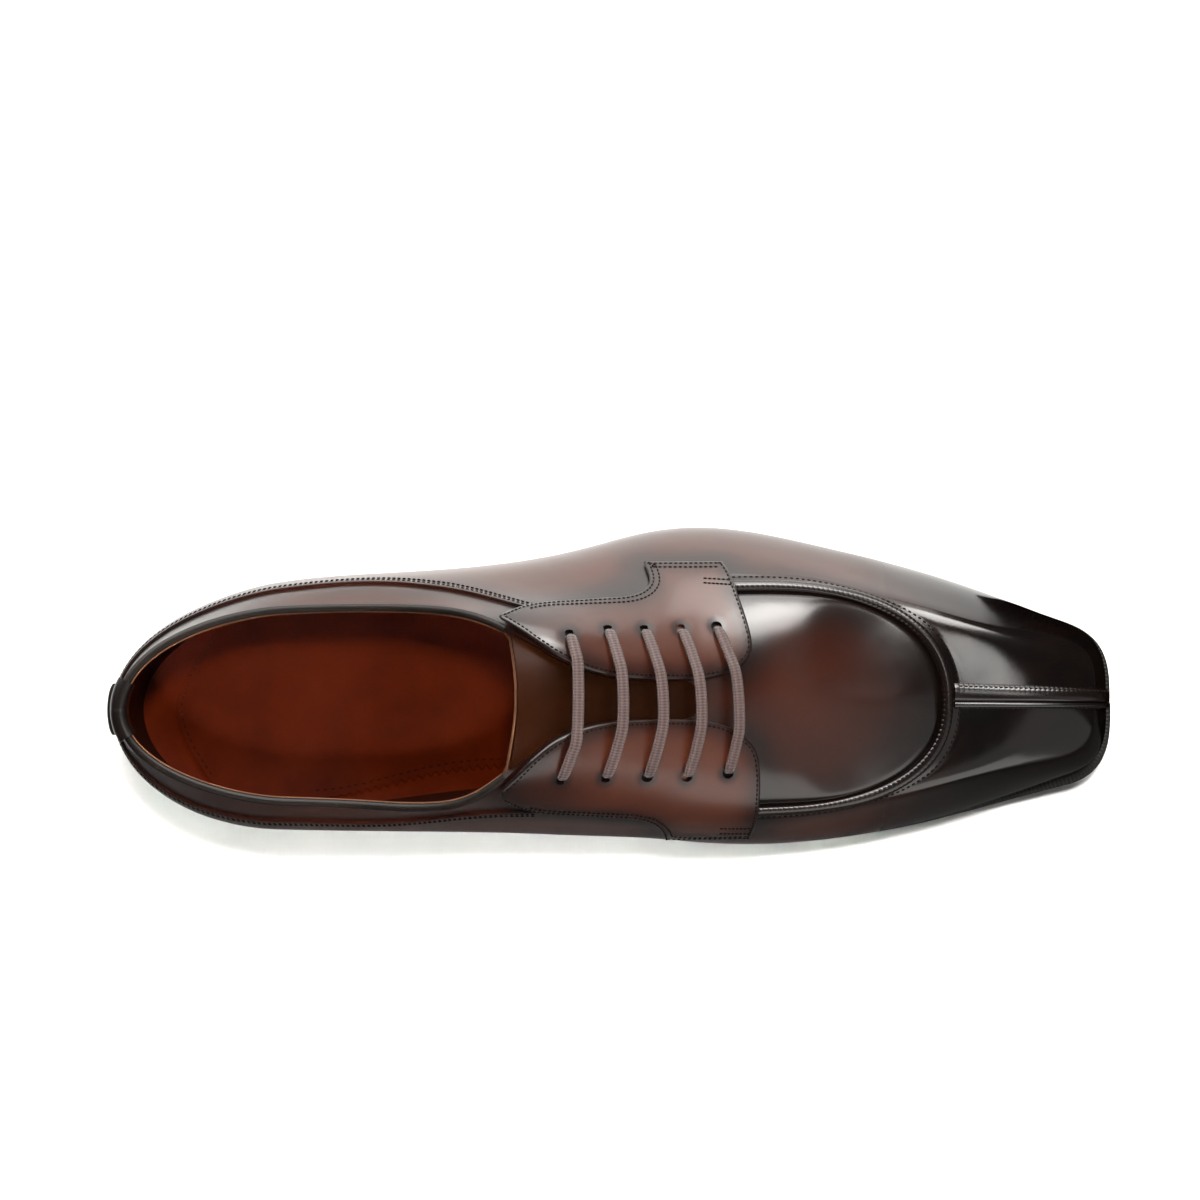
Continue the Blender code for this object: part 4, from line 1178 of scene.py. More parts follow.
@dataclass(frozen=True)
class Burnishing:
    """Tone and shine of the upper: tones of its panels, and what darkens them at seams, toe and heel."""

    quarter: float = 0.98
    apron: float = 0.74
    apron_back: float = 186.0
    toe: float = 0.93
    toe_run: Pair = (214.0, 262.0)
    apron_toe: float = 0.55
    apron_toe_run: Pair = (212.0, 252.0)
    seam: float = 0.6
    seam_width: float = 8.0
    apron_seam: float = 0.8
    apron_seam_width: float = 13.0
    seam_at_heel: float = 0.35
    seam_growth: float = 260.0
    low_wall: float = 0.3
    low_wall_levels: Pair = (1.0, 2.2)
    low_wall_run: Pair = (120.0, 160.0)
    feather: float = 0.5
    feather_width: float = 9.0
    overlay: float = 0.62
    overlay_width: float = 7.0
    heel: float = 0.55
    heel_run: Pair = (10.0, 70.0)
    shine: float = 0.15
    apron_shine: float = 0.62
    toe_shine: float = 0.75
    toe_shine_run: Pair = (222.0, 256.0)

    def paint(self, base: Array, level: Array, run: Array, lines: Sequence[Array]) -> tuple[Array, Array]:
        """Return the tone, 0 black to 1 tan, and the shine of the upper's points.

        Args:
            base: Points of the last, shaped places round it by levels by 3.
            level: Their levels.
            run: Their distances above the seam line, along the wall.
            lines: Outlines of the overlays, along which the calf is dark.

        Returns:
            Tone and shine, shaped as the levels.
        """
        station = base[..., 0]
        apron = (level > SEAM_LEVEL) & (station > self.apron_back)
        apron_toe = self.apron_toe * ramp(station, *self.apron_toe_run)
        toe = np.where(apron, apron_toe, ramp(station, *self.toe_run))
        tone = np.where(apron, self.apron, self.quarter) - self.toe * toe
        width = np.where(apron, self.apron_seam_width, self.seam_width)
        growing = np.clip(self.seam_at_heel + station / self.seam_growth, 0.0, 1.0)
        tone = tone * (1 - np.where(apron, self.apron_seam, self.seam) * growing * bell(run, width))
        low = 1 - ramp(level, *self.low_wall_levels)
        tone = tone * (1 - self.low_wall * low * ramp(station, *self.low_wall_run))
        feather = np.linalg.norm(base - base[:, :1, :], axis=2)
        tone = tone * (1 - self.feather * bell(feather, self.feather_width))
        for line in lines:
            tone = tone * (1 - self.overlay * bell(distance_to(base, line), self.overlay_width))
        tone = tone * (1 - self.heel * (1 - ramp(station, *self.heel_run)))
        polished = self.toe_shine * ramp(station, *self.toe_shine_run) * ~apron
        return tone, np.where(apron, self.apron_shine, self.shine) + polished


@dataclass
class Upper:
    """The lasted upper with its collar band, the bead on its collar and the raw edge of its lining."""

    wall: float = 2.0
    steps: int = 520
    bead: float = 1.15
    raw: float = 0.32
    fold: float = 0.011
    soft_rounds: int = 60
    soft_run: Pair = (226.0, 242.0)
    soft_foot: Pair = (0.8, 1.3)
    soft_top: float = 2.88
    soft_fade: float = 0.2
    collar_end: float = 119.0
    band_end: float = 127.0
    band_rows: Pair = (-1.3, -3.2)
    thread_rise: float = 0.14
    burnishing: Burnishing = Burnishing()

    def levels(self) -> Array:
        """Return the levels of the rows, close together at the seam line."""
        close = [2.91, 2.935, 2.955, 2.97, 2.982, 2.991, 2.9985,
                 3.0012, 3.009, 3.02, 3.035, 3.055, 3.08, 3.11]
        return np.unique(np.concatenate([np.linspace(0.0, 1.0, 10), np.linspace(1.0, 2.0, 14),
                                         np.linspace(2.0, 2.88, 22), close, np.linspace(3.15, 4.0, 24)]))

    def build(self, shop: Shop, burnish_lines: Sequence[Array]) -> None:
        """Build and dress the upper and its collar.

        Args:
            shop: Materials and stitch rows.
            burnish_lines: Lines along which the calf is burnished dark, besides its own edges.
        """
        around = np.linspace(0.0, 2.0, self.steps + 1)
        from_middle = np.abs(around - 1.0)
        around = around[(from_middle < 1e-9) | (from_middle > self.fold)]
        levels = self.levels()
        places = np.broadcast_to(around[:, None], (len(around), len(levels)))
        climb = LAST.seam_at(around) - SEAM_LEVEL
        near_seam = np.clip(1 - np.abs(levels - SEAM_LEVEL), 0.0, 1.0)
        heights = levels[None, :] + climb[:, None] * near_seam[None, :]
        base = LAST.surface(places, heights)
        steps = np.linalg.norm(np.diff(base, axis=1), axis=2)
        run = np.concatenate([np.zeros((len(around), 1)), np.cumsum(steps, axis=1)], axis=1)
        seam = int(np.searchsorted(levels, SEAM_LEVEL))
        run = run - (run[:, seam - 1:seam] + run[:, seam:seam + 1]) / 2
        rise = Relief().rise(base[..., 0], run)
        grid = self.soften(LAST.face(places, heights, rise), heights)
        piece = add_grid("upper_calf", grid)
        burnish(piece, *self.burnishing.paint(base, heights, run, burnish_lines))
        weld(piece)
        thicken(piece, self.wall, use_quality_normals=True, material_offset=1, material_offset_rim=0)
        dress(piece, [shop.calf, shop.lining], "calf", "upper", smooth=55.0)
        self.build_collar(shop)
        self.sew(shop)

    def soften(self, grid: Array, level: Array) -> Array:
        """Return the upper's points with the toe's shoulder, below the apron, drawn into a rounder bend."""
        weight = ramp(grid[..., 0], *self.soft_run) * ramp(level, *self.soft_foot)
        weight = 0.5 * weight * smoothstep((self.soft_top - level) / self.soft_fade)
        weight = weight[1:-1, 1:-1, None]
        for _ in range(self.soft_rounds):
            mean = (grid[2:, 1:-1] + grid[:-2, 1:-1] + grid[1:-1, 2:] + grid[1:-1, :-2]) / 4
            grid[1:-1, 1:-1] += weight * (mean - grid[1:-1, 1:-1])
        return grid

    def build_collar(self, shop: Shop) -> None:
        """Build the bead along the collar and the raw edge of the lining inside it."""
        around = LAST.path((self.collar_end, self.collar_end), 420, by_heel=True)
        top = LAST.face(around, TOP_LEVEL)
        normal = LAST.normal(around, TOP_LEVEL)
        along = unit(np.gradient(top, axis=0))
        up = unit(np.cross(along, normal))
        up = up * np.sign(up[:, 2:3])
        sweep = Sweep(top - (self.wall / 2 - 0.15) * normal - 0.25 * up, normal, up)
        turns = np.linspace(0.0, 2 * math.pi, 17)
        section = np.stack([np.cos(turns) * (self.bead + 0.1), np.sin(turns) * self.bead], axis=1)
        piece = sweep.build("collar_bead", section)
        dress(piece, [shop.binding], "calf_dark")
        inside = Sweep(top - (self.wall + 0.2) * normal - 0.1 * up, normal, up)
        section = np.array([(0.4, -1.2), (0.45, 0.0), (0.2, 0.38), (-0.2, 0.36), (-0.4, 0.0), (-0.3, -1.2)])
        piece = inside.build("lining_edge", np.concatenate([section, section[:1]]) * self.raw / 0.45)
        dress(piece, [shop.raw_edge], "lining_leather")

    def sew(self, shop: Shop) -> None:
        """Lay the stitch rows of the collar band."""
        around = LAST.path((self.band_end, self.band_end), 540, by_heel=True)
        for distance in self.band_rows:
            level = LAST.seam_level(around, distance, LAST.seam_at(around))
            shop.stitches.add(LAST.face(around, level, self.thread_rise), LAST.normal(around, level))


@dataclass
class Sweep:
    """A section drawn along a line, with the line's directions to the side and up."""

    points: Array
    side: Array
    up: Array

    def build(self, name: str, section: Array, scale: Array | None = None) -> Piece:
        """Return the swept body.

        Args:
            name: The piece's name.
            section: Closed rows of distances to the side and up; the first row is repeated at the end.
            scale: Factors of the section to the side and up at each point of the line.

        Returns:
            The closed piece.
        """
        factors = np.ones((len(self.points), 2)) if scale is None else scale
        wide = section[None, :, 0, None] * factors[:, None, 0, None] * self.side[:, None, :]
        high = section[None, :, 1, None] * factors[:, None, 1, None] * self.up[:, None, :]
        piece = add_grid(name, self.points[:, None, :] + wide + high)
        weld(piece, fill=True, outward=True)
        shade_smooth(piece, 50.0)
        return piece


def eyelet_ring(row: EyeletRow, side: Side, radius: float, corners: int = 20) -> Array:
    """Return a circle on the last round an eyelet, in plan."""
    turns = np.linspace(0.0, 2 * math.pi, corners, endpoint=False)
    station, half = row.place(side)
    near, _ = BRIDGED.on_plan(np.array([[station, half - 0.5], [station, half + 0.5]]), side)
    lean = radius / np.linalg.norm(near[1] - near[0])
    return np.stack([station + radius * np.cos(turns), half + lean * np.sin(turns)], axis=1)


@dataclass
class HoleShadeDiscs:
    """Black discs behind the facings: painted shade, a dark sheet under each lace hole that stands in for the
    shade down the hole.
    """

    radius: float = 2.4
    low: float = 0.04
    high: float = 0.2

    def build(self, shop: Shop) -> None:
        """Build and dress all ten as one mesh of closed discs."""
        points: list[Array] = []
        faces: list[list[int]] = []
        for row in EYELETS:
            for side in Side:
                ring = eyelet_ring(row, side, self.radius)
                count, start = len(ring), sum(map(len, points))
                points += [BRIDGED.on_plan(ring, side, rise)[0] for rise in (self.low, self.high)]
                faces.append([start + i for i in range(count)][::-1])
                faces.append([start + count + i for i in range(count)])
                for i in range(count):
                    j = (i + 1) % count
                    faces.append([start + i, start + j, start + count + j, start + count + i])
        # The discs are painted shade: dark sheets under the lace holes
        piece = add_mesh("blind_eyelets", np.concatenate(points), faces)
        weld(piece, outward=True)
        dress(piece, [shop.eyelet], "calf_dark")


@dataclass
class Facing:
    """One derby facing with its dropped tab, cut in plan (station, half width) and laid over the upper."""

    side: Side
    lower: list[Pair]
    front: list[Pair]
    throat: Pair
    tacks: list[list[Pair]]
    top: float = 1.75
    thick: float = 1.5
    round_edge: float = 0.9
    step: float = 0.6
    grid: float = 0.85
    row_share: float = 0.87
    clear: float = 1.25
    edge_rows: tuple[float, ...] = (0.18, 0.45, 0.85)
    eyelet: float = 1.65
    first_row: float = 1.25
    second_row: float = 3.0
    proud: float = 0.1
    tack_stitch: float = 1.3
    channel: float = 0.14
    channel_width: float = 0.35
    dent: float = 0.12
    dent_width: float = 0.7
    tone: float = 0.92
    edge_dark: float = 0.62
    edge_width: float = 4.0
    hole_dark: float = 0.75
    hole_width: float = 1.3
    back_tone: float = 0.55
    back_run: Pair = (116.0, 150.0)
    shine: float = 0.2

    def name(self) -> str:
        """Return the side's name in small letters."""
        return self.side.name.lower()

    def throat_line(self) -> Array:
        """Return the throat edge in plan, from the front to the back."""
        station = np.linspace(self.throat[0], self.throat[1], 150)
        return np.stack([station, LAST.curves[-1][self.side.value](station)], axis=1)

    def outline(self) -> Array:
        """Return the closed outline in plan at even steps."""
        lower = smooth_through(self.lower, self.step)
        front = smooth_through(self.front, self.step)
        throat = resample(self.throat_line(), self.step)
        return np.concatenate([line[:-1] for line in (lower, self.tab_line(), front, throat)])

    def tab_line(self) -> Array:
        """Return the straight foot of the tab in plan."""
        return resample(np.array([self.lower[-1], self.front[0]]), self.step)

    def inner_line(self, outline: Array, distance: float) -> Array:
        """Return the outline moved inwards by a distance on the surface."""
        points, normals = BRIDGED.on_plan(outline, self.side)
        run = unit(np.roll(points, -1, axis=0) - np.roll(points, 1, axis=0))
        inward = unit(np.cross(normals, run)) * (1.0 if self.turns_left(outline) else -1.0)
        moved = points + distance * inward
        sign = 1.0 if self.side is Side.LATERAL else -1.0
        return np.stack([moved[:, 0], sign * (moved[:, 1] - LAST.axis(moved[:, 0]))], axis=1)

    def turns_left(self, outline: Array) -> bool:
        """Return whether the outline runs so that its inside lies along normal times direction."""
        x, y = outline[:, 0], outline[:, 1] * (1.0 if self.side is Side.LATERAL else -1.0)
        return float(np.sum(x * np.roll(y, -1) - y * np.roll(x, -1))) > 0

    def holes(self) -> list[Array]:
        """Return the outlines of the eyelets in plan."""
        return [eyelet_ring(row, self.side, self.eyelet) for row in EYELETS]

    def build(self, shop: Shop) -> Array:
        """Build, dress and sew the facing.

        Args:
            shop: Materials and stitch rows.

        Returns:
            The outline on the last, along which the upper is burnished.
        """
        outline = self.outline()
        rings = [outline, *self.holes()]
        plan, faces = self.cut(rings)
        places, _ = BRIDGED.on_plan(plan, self.side)
        edge_line, *hole_lines = [BRIDGED.on_plan(ring, self.side)[0] for ring in rings]
        edge = distance_to(places, edge_line)
        hole = np.min([distance_to(places, line) for line in hole_lines], axis=0)
        drop = self.round_edge * (1 - np.sqrt(1 - np.clip(1 - edge / self.round_edge, 0.0, 1.0) ** 2))
        channel = self.channel * bell(edge - self.first_row, self.channel_width)
        dent = self.dent * bell(hole, self.dent_width)
        shown, _ = BRIDGED.on_plan(plan, self.side, self.top - drop - channel - dent)
        used = np.unique(np.concatenate([np.array(face) for face in faces]))
        order = np.full(len(plan), -1)
        order[used] = np.arange(len(used))
        turn = 1 if self.side is Side.LATERAL else -1
        faces = [[int(order[v]) for v in face][::turn] for face in faces]
        piece = add_mesh(f"facing_{self.name()}_calf", shown[used], faces)
        tone = self.tone * (1 - self.edge_dark * bell(edge, self.edge_width))
        tone = tone * (1 - self.hole_dark * bell(hole, self.hole_width))
        tone = tone * (self.back_tone + (1 - self.back_tone) * ramp(places[:, 0], *self.back_run))
        burnish(piece, tone[used], self.shine)
        thicken(piece, self.thick)
        dress(piece, [shop.calf], "calf", f"facing_{self.name()}", smooth=55.0)
        self.sew(shop, outline)
        return edge_line

    def cut(self, rings: Sequence[Array]) -> tuple[Array, list[Sequence[int]]]:
        """Return the leather cut in plan.

        Args:
            rings: The outline, then the eyelets.

        Returns:
            Plan points and the faces between them.
        """
        outline = rings[0]
        low, high = outline.min(axis=0), outline.max(axis=0)
        xs, ys = np.meshgrid(np.arange(low[0], high[0], self.grid),
                             np.arange(low[1], high[1], self.grid * self.row_share))
        xs = xs + (np.arange(xs.shape[0])[:, None] % 2) * self.grid / 2
        inside = np.stack([xs.ravel(), ys.ravel()], axis=1)
        inside = inside[self.within(inside, outline)]
        inside = inside[self.clearance(inside, rings) > self.clear]
        edges = []
        for distance in self.edge_rows:
            row = self.inner_line(outline, distance)
            edges.append(row[self.within(row, outline) & (self.clearance(row, rings) > distance * 0.5)])
        lines, start = [], 0
        for ring in rings:
            lines += [(start + i, start + (i + 1) % len(ring)) for i in range(len(ring))]
            start += len(ring)
        points = [Vector(point) for point in np.concatenate([*rings, *edges, inside])]
        cut = delaunay_2d_cdt(points, lines, [], 1, 1e-4)
        plan = np.array([tuple(point) for point in cut[0]])
        return plan, [face for face in cut[2] if not self.in_hole(plan[list(face)].mean(axis=0))]

    def within(self, points: Array, outline: Array) -> Array:
        """Return which plan points lie inside an outline."""
        x, y = points[:, 0, None], points[:, 1, None]
        ax, ay = outline[None, :, 0], outline[None, :, 1]
        bx, by = np.roll(outline[:, 0], -1)[None, :], np.roll(outline[:, 1], -1)[None, :]
        crosses = (ay > y) != (by > y)
        slope = np.where(by == ay, 1e-12, by - ay)
        return np.sum(crosses & (x < ax + (y - ay) * (bx - ax) / slope), axis=1) % 2 == 1

    def clearance(self, points: Array, rings: Sequence[Array]) -> Array:
        """Return how far plan points lie from the nearest outline."""
        line = np.concatenate(rings)
        return np.sqrt(((points[:, None, :] - line[None, :, :]) ** 2).sum(axis=2).min(axis=1))

    def in_hole(self, place: Array) -> bool:
        """Return whether a plan point lies in an eyelet."""
        reach = self.eyelet * 0.7
        return any(math.dist(place, row.place(self.side)) < reach for row in EYELETS)

    def sew(self, shop: Shop, outline: Array) -> None:
        """Lay the stitch rows: one all round, a second along the lower edge, and the bar tacks."""
        row = self.inner_line(outline, self.first_row)
        shop.stitches.add(*BRIDGED.on_plan(row, self.side, self.top))
        count = len(smooth_through(self.lower, self.step)) + len(self.tab_line())
        row = self.inner_line(outline, self.second_row)[12:count - 4]
        row = row[self.clearance(row, [outline]) > self.second_row * 0.3]
        shop.stitches.add(*BRIDGED.on_plan(row, self.side, self.top + self.proud))
        for tack in self.tacks:
            row = resample(np.array(tack), 0.5)
            shop.stitches.add(*BRIDGED.on_plan(row, self.side, self.top + self.proud), self.tack_stitch)


def lateral_facing() -> Facing:
    """Return the lateral facing, whose tab is cut in a step."""
    lower = [(116.8, 23.6), (124.0, 26.6), (135.0, 28.2), (147.0, 29.3), (154.5, 30.2),
             (158.6, 32.0), (160.4, 34.6), (160.0, 37.6), (158.9, 40.6)]
    front = [(182.4, 40.9), (184.6, 37.6), (187.0, 31.0), (188.8, 25.5), (190.4, 19.5),
             (190.7, 15.6), (189.4, 12.2), (186.2, 9.6)]
    tacks = [[(176.4, 35.4), (184.6, 35.0)], [(176.4, 34.0), (185.0, 33.6)]]
    return Facing(Side.LATERAL, lower, front, (186.2, 116.8), tacks)


def medial_facing() -> Facing:
    """Return the medial facing, whose tab drops in a curve."""
    lower = [(116.8, 27.6), (124.0, 30.8), (135.0, 32.2), (147.0, 33.2), (157.0, 34.2),
             (161.6, 35.8), (164.0, 38.2), (164.8, 40.6)]
    front = [(191.4, 40.6), (192.8, 35.5), (193.3, 30.0), (193.3, 23.0), (192.6, 17.0),
             (191.0, 13.4), (188.4, 10.9), (185.0, 9.2)]
    tacks = [[(181.5, 36.8), (191.0, 37.0)], [(181.5, 38.4), (191.0, 38.6)]]
    return Facing(Side.MEDIAL, lower, front, (185.0, 116.8), tacks)


@dataclass
class Seams:
    """The raised seam round the apron and the split seam down the toe, pinched at each stitch."""

    ends: Pair = (183.4, 190.4)
    tuck: float = 3.4
    half: float = 1.75
    rise: float = 1.35
    pitch: float = 1.6
    pinch: float = 0.15
    outer_row: float = -3.6
    outer_stitch: float = 1.8
    split: float = 0.012
    tone: float = 0.24
    toe_dark: float = 0.12
    toe_dark_run: Pair = (205.0, 245.0)
    shine: float = 0.45
    toe_tone: float = 0.1
    toe_shine: float = 0.5
    toe_pinch: float = 0.09
    toe_lateral: float = 5.6
    toe_medial: float = 2.3
    toe_rise: float = 1.05
    toe_narrow: float = 0.72
    toe_foot: float = 0.42

    def build(self, shop: Shop) -> None:
        """Build, dress and sew both seams."""
        self.build_apron(shop)
        self.build_toe(shop)

    def pinches(self, run: Array) -> Array:
        """Return how far the thread pulls the leather in along a seam, from 0 to 1."""
        return (0.5 + 0.5 * np.cos(2 * math.pi * run / self.pitch)) ** 3

    def build_apron(self, shop: Shop) -> None:
        """Build the apron's ridge as a swept section with pinches at its stitches."""
        around = LAST.path(self.ends, 1400)
        points = LAST.surface(around, SEAM_LEVEL)
        normal = LAST.normal(around, SEAM_LEVEL)
        along = unit(np.gradient(points, axis=0))
        side = unit(np.cross(normal, along))
        run = run_along(points)
        wave = self.pinches(run)
        tucked = 0.12 + 0.88 * smoothstep(run / self.tuck) * smoothstep((run[-1] - run) / self.tuck)
        turns = np.linspace(0.0, math.pi, 15)
        rows = []
        for turn in turns:
            flank = abs(math.cos(turn))
            width = math.cos(turn) * self.half
            height = math.sin(turn) ** 0.8 * self.rise if turn not in (0.0, math.pi) else 0.0
            dent = self.pinch * wave * flank ** 1.5 * math.sin(turn) ** 0.3
            rows.append(points + (width - np.sign(width) * dent)[:, None] * side
                        + ((height - 0.4 * dent) * tucked)[:, None] * normal)
        for width in (-0.8, 0.8):
            rows.append(points + width * self.half * side - 0.8 * normal)
        piece = add_body("apron_ridge", [*rows, rows[0]], fill=True)
        station = vertex_points(piece)[:, 0]
        burnish(piece, self.tone - self.toe_dark * ramp(station, *self.toe_dark_run), self.shine)
        dress(piece, [shop.calf], "calf_dark", "apron_seam", smooth=60.0)
        level = LAST.seam_level(around, self.outer_row)
        row, normals = LAST.face(around, level, 0.05), LAST.normal(around, level)
        clear = np.abs(around - 1.0) >= self.split
        for half in (clear & (around < 1.0), clear & (around > 1.0)):
            shop.stitches.add(row[half], normals[half], self.outer_stitch)

    def build_toe(self, shop: Shop) -> None:
        """Build the split seam: a wide strip, a groove and a narrow ridge from the apron to the welt."""
        start = float(LAST.seam_level(np.array([1.0]), -self.half - 0.2)[0])
        spine = resample(LAST.surface(1.0, np.linspace(start, self.toe_foot, 200)), 0.2)
        slope = unit(np.gradient(spine, axis=0))
        out = np.stack([-slope[:, 2], 0 * slope[:, 0], slope[:, 0]], axis=1)
        narrow = np.linspace(1.0, self.toe_narrow, len(spine))
        # Places across, as shares of the medial and lateral reach, and heights as shares of the rise
        section = [(-1.15, -0.7), (-1.0, 0.1), (-0.85, 0.62), (-0.6, 0.95), (-0.4, 1.0), (-0.2, 0.9),
                   (-0.08, 0.55), (0.0, 0.15), (0.04, 0.5), (0.1, 0.8), (0.2, 0.92), (0.4, 1.0), (0.65, 1.0),
                   (0.82, 0.8), (0.94, 0.42), (1.0, 0.05), (1.06, -0.7)]
        wave = self.pinches(run_along(spine))
        places, levels = np.meshgrid(np.linspace(0.86, 1.14, 225), np.linspace(0.1, 3.3, 120), indexing="ij")
        tree = lattice_tree(LAST.surface(places, levels))
        columns = []
        for across, _ in section:
            offset = across * (self.toe_medial if across < 0 else self.toe_lateral) * narrow
            above = spine + 12.0 * out + offset[:, None] * np.array([0.0, 1.0, 0.0])
            columns.append(cast(tree, above, -out))
        seat = np.stack(columns, axis=1)
        normal = unit(np.cross(np.gradient(seat, axis=0), np.gradient(seat, axis=1)))
        shape = np.array([height for _, height in section]) * self.toe_rise
        edge = np.array([bell(abs(across) - 0.9, 0.16) for across, _ in section])
        rise = shape[None, :] - self.toe_pinch * wave[:, None] * edge[None, :]
        points = seat + rise[..., None] * normal
        below = seat[:, [-1, 0]] - 1.2 * normal[:, [-1, 0]]
        ring = np.concatenate([points, below, points[:, :1]], axis=1)
        piece = add_grid("toe_split_ridge", ring)
        weld(piece, fill=True, outward=True)
        burnish(piece, self.toe_tone, self.toe_shine)
        dress(piece, [shop.calf], "calf_dark", "toe_seam", smooth=60.0)
        for column in (2, len(section) - 4):
            shop.stitches.add(points[6:-6, column], normal[6:-6, column], self.pitch)


@dataclass
class HeelTab:
    """The small tab over the back seam, folded over the collar."""

    half: float = 9.0
    narrow: float = 0.72
    foot: float = 2.72
    thick: float = 0.7
    leather: float = 0.8
    seat: float = 0.3
    fold_reach: float = 2.15
    fold_lift: float = 1.75
    fold_depth: float = 2.5
    tone: float = 0.08
    shine: float = 0.1

    def build(self, shop: Shop) -> None:
        """Build, dress and sew the tab."""
        across = np.linspace(-1.0, 1.0, 41)
        spine = np.concatenate([np.linspace(4.0, 3.04, 26), [3.02, 3.01, 2.995, 2.985],
                                np.linspace(2.96, self.foot, 8)])
        rows = []
        for i, level in enumerate(spine):
            share = 1 - (1 - self.narrow) * i / (len(spine) - 1)
            around = np.linspace(-0.1, 0.1, 161)
            sides = LAST.surface(around, level)[:, 1]
            middle = LAST.surface(0.0, level)[1]
            places = np.interp(middle + across * self.half * share, sides, around)
            edge = 0.55 * np.abs(across) ** 14
            rows.append(LAST.face(places, level, self.seat + self.thick * (1 - edge)))
            if i == 0:
                top, out = LAST.face(places, TOP_LEVEL), LAST.normal(places, TOP_LEVEL)
        folded = []
        for turn in np.linspace(math.pi, 0.0, 12)[:-1]:
            shift = (math.cos(turn) - 1) / 2 * (2 * self.fold_reach - self.leather) + 1.15
            lift = math.sin(turn) * self.fold_lift + 0.1
            folded.append(top + shift * out + np.array([0.0, 0.0, 1.0]) * lift)
        deep = folded[0] - np.array([0.0, 0.0, self.fold_depth])
        grid = np.array([deep, *folded, *rows])
        piece = add_grid("heel_tab_calf", grid[:, ::-1])
        burnish(piece, self.tone, self.shine)
        thicken(piece, self.leather)
        dress(piece, [shop.calf], "calf_dark", "heel_tab", smooth=60.0)
        normals = unit(np.cross(np.gradient(grid, axis=1), np.gradient(grid, axis=0)))
        for column in (3, len(across) - 4):
            line, normal = grid[8:, column], normals[8:, column]
            outward = unit(line - np.array([40.0, 0.0, 60.0]))
            normal = normal * np.sign((normal * outward).sum(axis=1, keepdims=True))
            shop.stitches.add(line + 0.05 * normal, normal)


@dataclass
class Tongue:
    """The tongue under the lacing gap, with a raw stitched top edge."""

    top: float = 117.0
    front: float = 186.0
    dip: float = 6.0
    gap: float = 0.7
    sink: float = 1.8
    sink_run: Pair = (150.0, 172.0)
    wing: Pair = (3.25, 3.92)
    wall: float = 2.0
    thick: float = 2.0
    lip: float = 0.3
    tone: float = 0.3
    worn: float = 0.2
    worn_at: float = 7.0
    shine: float = 0.3
    stitch: float = 1.8
    stitch_inset: float = 2.2

    def grid(self) -> Array:
        """Return the tongue's outer face: under both quarters and arched across the gap."""
        stations = np.linspace(self.top, self.front, 90)
        wing = np.linspace(*self.wing, 14)
        t = np.linspace(0.0, 1.0, 22)[1:-1, None]
        rows = []
        for station in stations:
            depth = self.wall + self.gap + self.sink * float(ramp(station, *self.sink_run[::-1]))
            sides = []
            for side in Side:
                place = float(LAST.round_at(station, side))
                sides.append(LAST.surface(place, wing) - depth * LAST.normal(np.full(len(wing), place), wing))
            left, right = sides
            reach = np.linalg.norm(left[-1] - right[-1])
            out = unit(left[-1] - left[-2]) * reach
            home = unit(right[-2] - right[-1]) * reach
            middle = ((2 * t ** 3 - 3 * t ** 2 + 1) * left[-1] + (t ** 3 - 2 * t ** 2 + t) * out
                      + (3 * t ** 2 - 2 * t ** 3) * right[-1] + (t ** 3 - t ** 2) * home)
            rows.append(np.concatenate([left, middle, right[::-1]]))
        grid = np.array(rows)
        shares = np.linspace(0.0, 1.0, len(stations))
        for j, bow in enumerate(np.sin(np.linspace(0.0, math.pi, grid.shape[1])) ** 2):
            dip = bow * self.dip / (self.front - self.top)
            for axis in range(3):
                grid[:, j, axis] = np.interp(dip + (1 - dip) * shares, shares, grid[:, j, axis].copy())
        return grid

    def build(self, shop: Shop) -> None:
        """Build, dress and sew the tongue."""
        grid = self.grid()
        piece = add_grid("tongue_calf", grid[::-1])
        station = grid[::-1, :, 0]
        worn = bell(station - self.top - self.worn_at, self.worn_at)
        burnish(piece, self.tone + self.worn * worn, self.shine)
        thicken(piece, self.thick, material_offset=1, material_offset_rim=2)
        dress(piece, [shop.tongue, shop.lining, shop.raw_edge], "calf", "tongue", smooth=50.0)
        along = unit(grid[3] - grid[0])
        row = grid[0] + self.stitch_inset * along
        normal = unit(np.cross(np.gradient(row, axis=0), along))
        normal = normal * np.sign(normal[:, 2:3])
        shop.stitches.add(row + 0.2 * normal, normal, self.stitch)
        r = self.lip
        section = np.array([(-1.0, -0.4), (-1.05, 0.3 * r), (-0.6, 0.8 * r), (0.0, r), (0.6, 0.9 * r),
                            (1.0, 0.5 * r), (1.12, 0.0), (1.12, -0.3), (0.9, -0.4), (-1.0, -0.4)])
        middle = grid[0] - self.thick / 2 * normal
        edge = Sweep(middle, normal, -along)
        dress(edge.build("tongue_edge", section), [shop.raw_edge], "calf")


